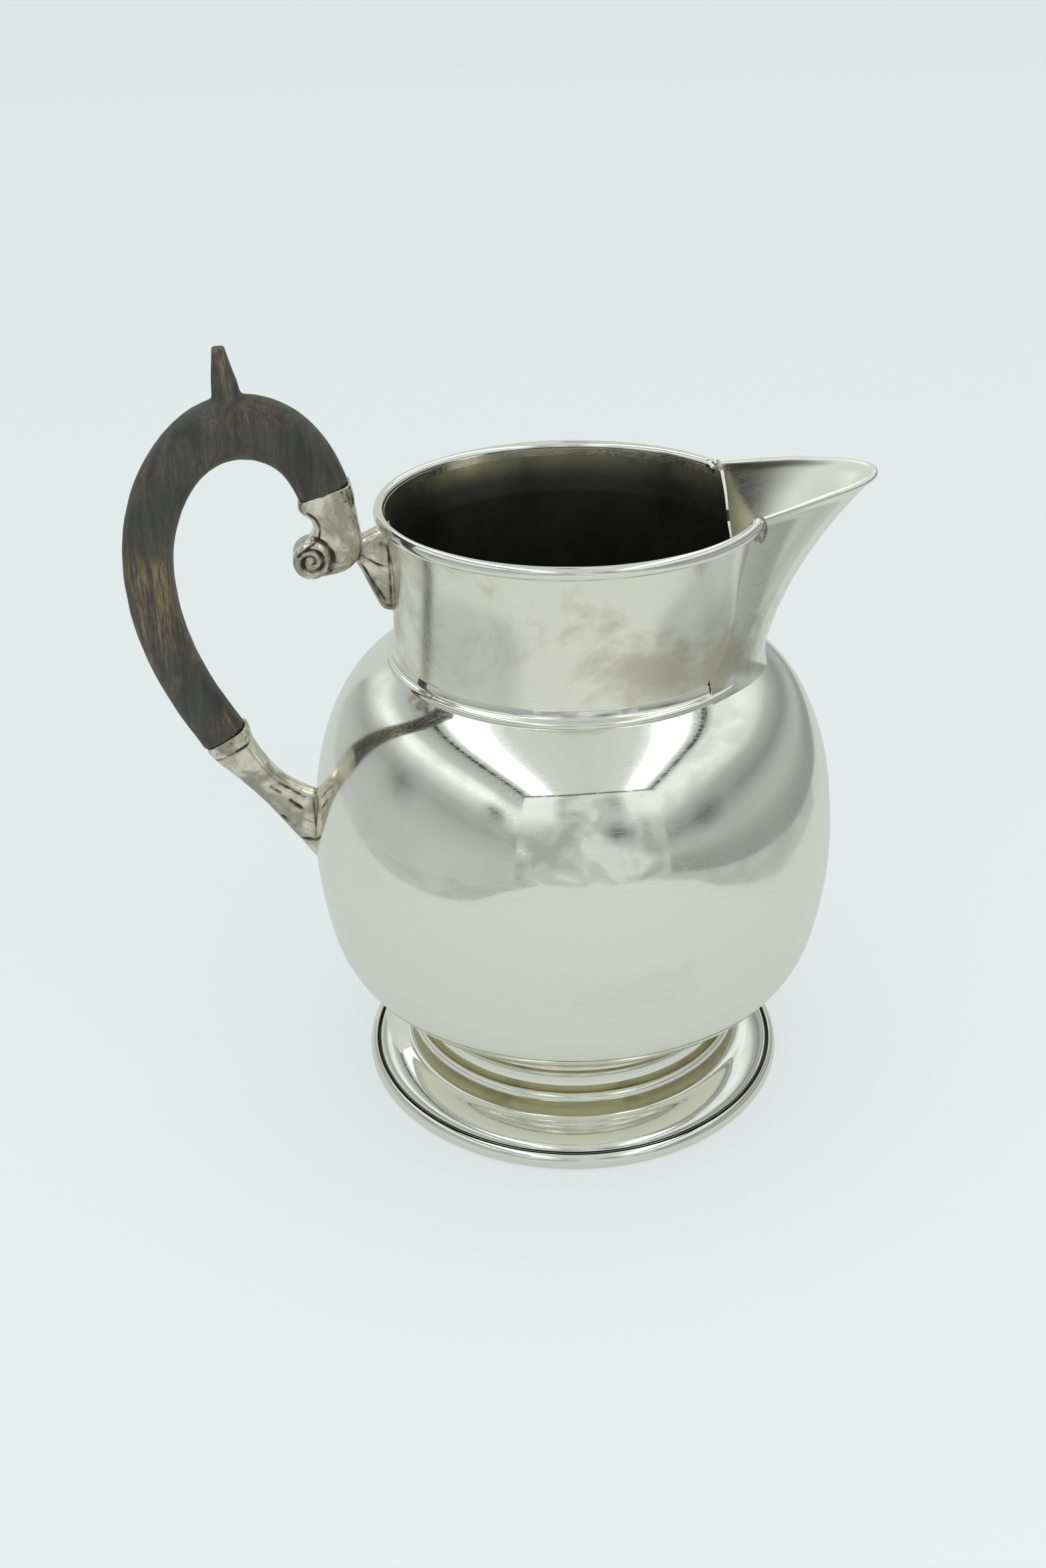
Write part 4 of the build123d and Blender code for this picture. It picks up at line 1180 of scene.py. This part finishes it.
def tent_side(name, ends, low, high, paint):
    """An upright card between two places in plan, from one height to another."""
    (x0, y0), (x1, y1) = ends
    card(name, [(x0, y0, low), (x1, y1, low), (x1, y1, high), (x0, y0, high)], paint)


front_left, front_right = (-TENT_X, TENT_FRONT), (TENT_X, TENT_FRONT)
back_left, back_right = (-TENT_X, TENT_BACK), (TENT_X, TENT_BACK)
card("tent ceiling", [(*corner, TENT_TOP) for corner in (front_left, front_right, back_right, back_left)],
     ceiling_paint)
tent_side("left wall", (front_left, back_left), 0, TENT_TOP, left_wall_paint)
tent_side("right wall", (front_right, back_right), 0, TENT_TOP, right_wall_paint)
tent_side("tent front", (front_left, front_right), 0, TENT_TOP, front_paint)
BORDER_Z = 0.4                  # just above the floor
left_edge = [(-TENT_X, 140), (-340, 20), (-285, -150), (-255, -260), (-270, -420), (-250, TENT_FRONT), front_left]
right_edge = [(TENT_X, 150), front_right, (270, TENT_FRONT), (300, -360), (262, -240), (256, -60), (300, 100)]
card("left border", [(*corner, BORDER_Z) for corner in left_edge], border_paint)
card("right border", [(*corner, BORDER_Z) for corner in right_edge], border_paint)
print("tent cards made")

# %% [markdown]
# The camera stands in front of the pitcher, a little to the handle's side, and looks down into the neck.
# It could be aimed with a constraint, but three angles and a place say the same and leave nothing live.

# %% Camera
LENS_MM = 38.04
CAMERA_AT = (-0.0628, -0.4251, 0.3264)
HEADING, PITCH, TILT = 6.49, -28.56, -1.07          # degrees: right of +Y, up, and anticlockwise
camera_data = bpy.data.cameras.new("camera")
camera = bpy.data.objects.new("camera", camera_data)
bpy.context.scene.collection.objects.link(camera)
camera_data.sensor_fit = "VERTICAL"
camera_data.sensor_height = 36.0
camera_data.lens = LENS_MM
camera_data.clip_start = 0.01
heading, pitch, roll = (math.radians(degrees) for degrees in (HEADING, PITCH, TILT))
forward = np.array([math.sin(heading) * math.cos(pitch), math.cos(heading) * math.cos(pitch), math.sin(pitch)])
level_right = np.cross(forward, [0, 0, 1])
level_right /= np.linalg.norm(level_right)
level_up = np.cross(level_right, forward)
right = level_right * math.cos(roll) + level_up * math.sin(roll)
up_axis = -level_right * math.sin(roll) + level_up * math.cos(roll)
matrix = Matrix([[right[i], up_axis[i], -forward[i], 0] for i in range(3)] + [[0, 0, 0, 1]])
matrix.translation = Vector(CAMERA_AT)
camera.matrix_world = matrix
bpy.context.scene.camera = camera
bpy.context.scene.view_settings.view_transform = "Standard"
print("camera at", [round(v, 4) for v in camera.location])

# %% [markdown]
# The last cell brings the scene up to date.

# %% The end
bpy.context.view_layer.update()
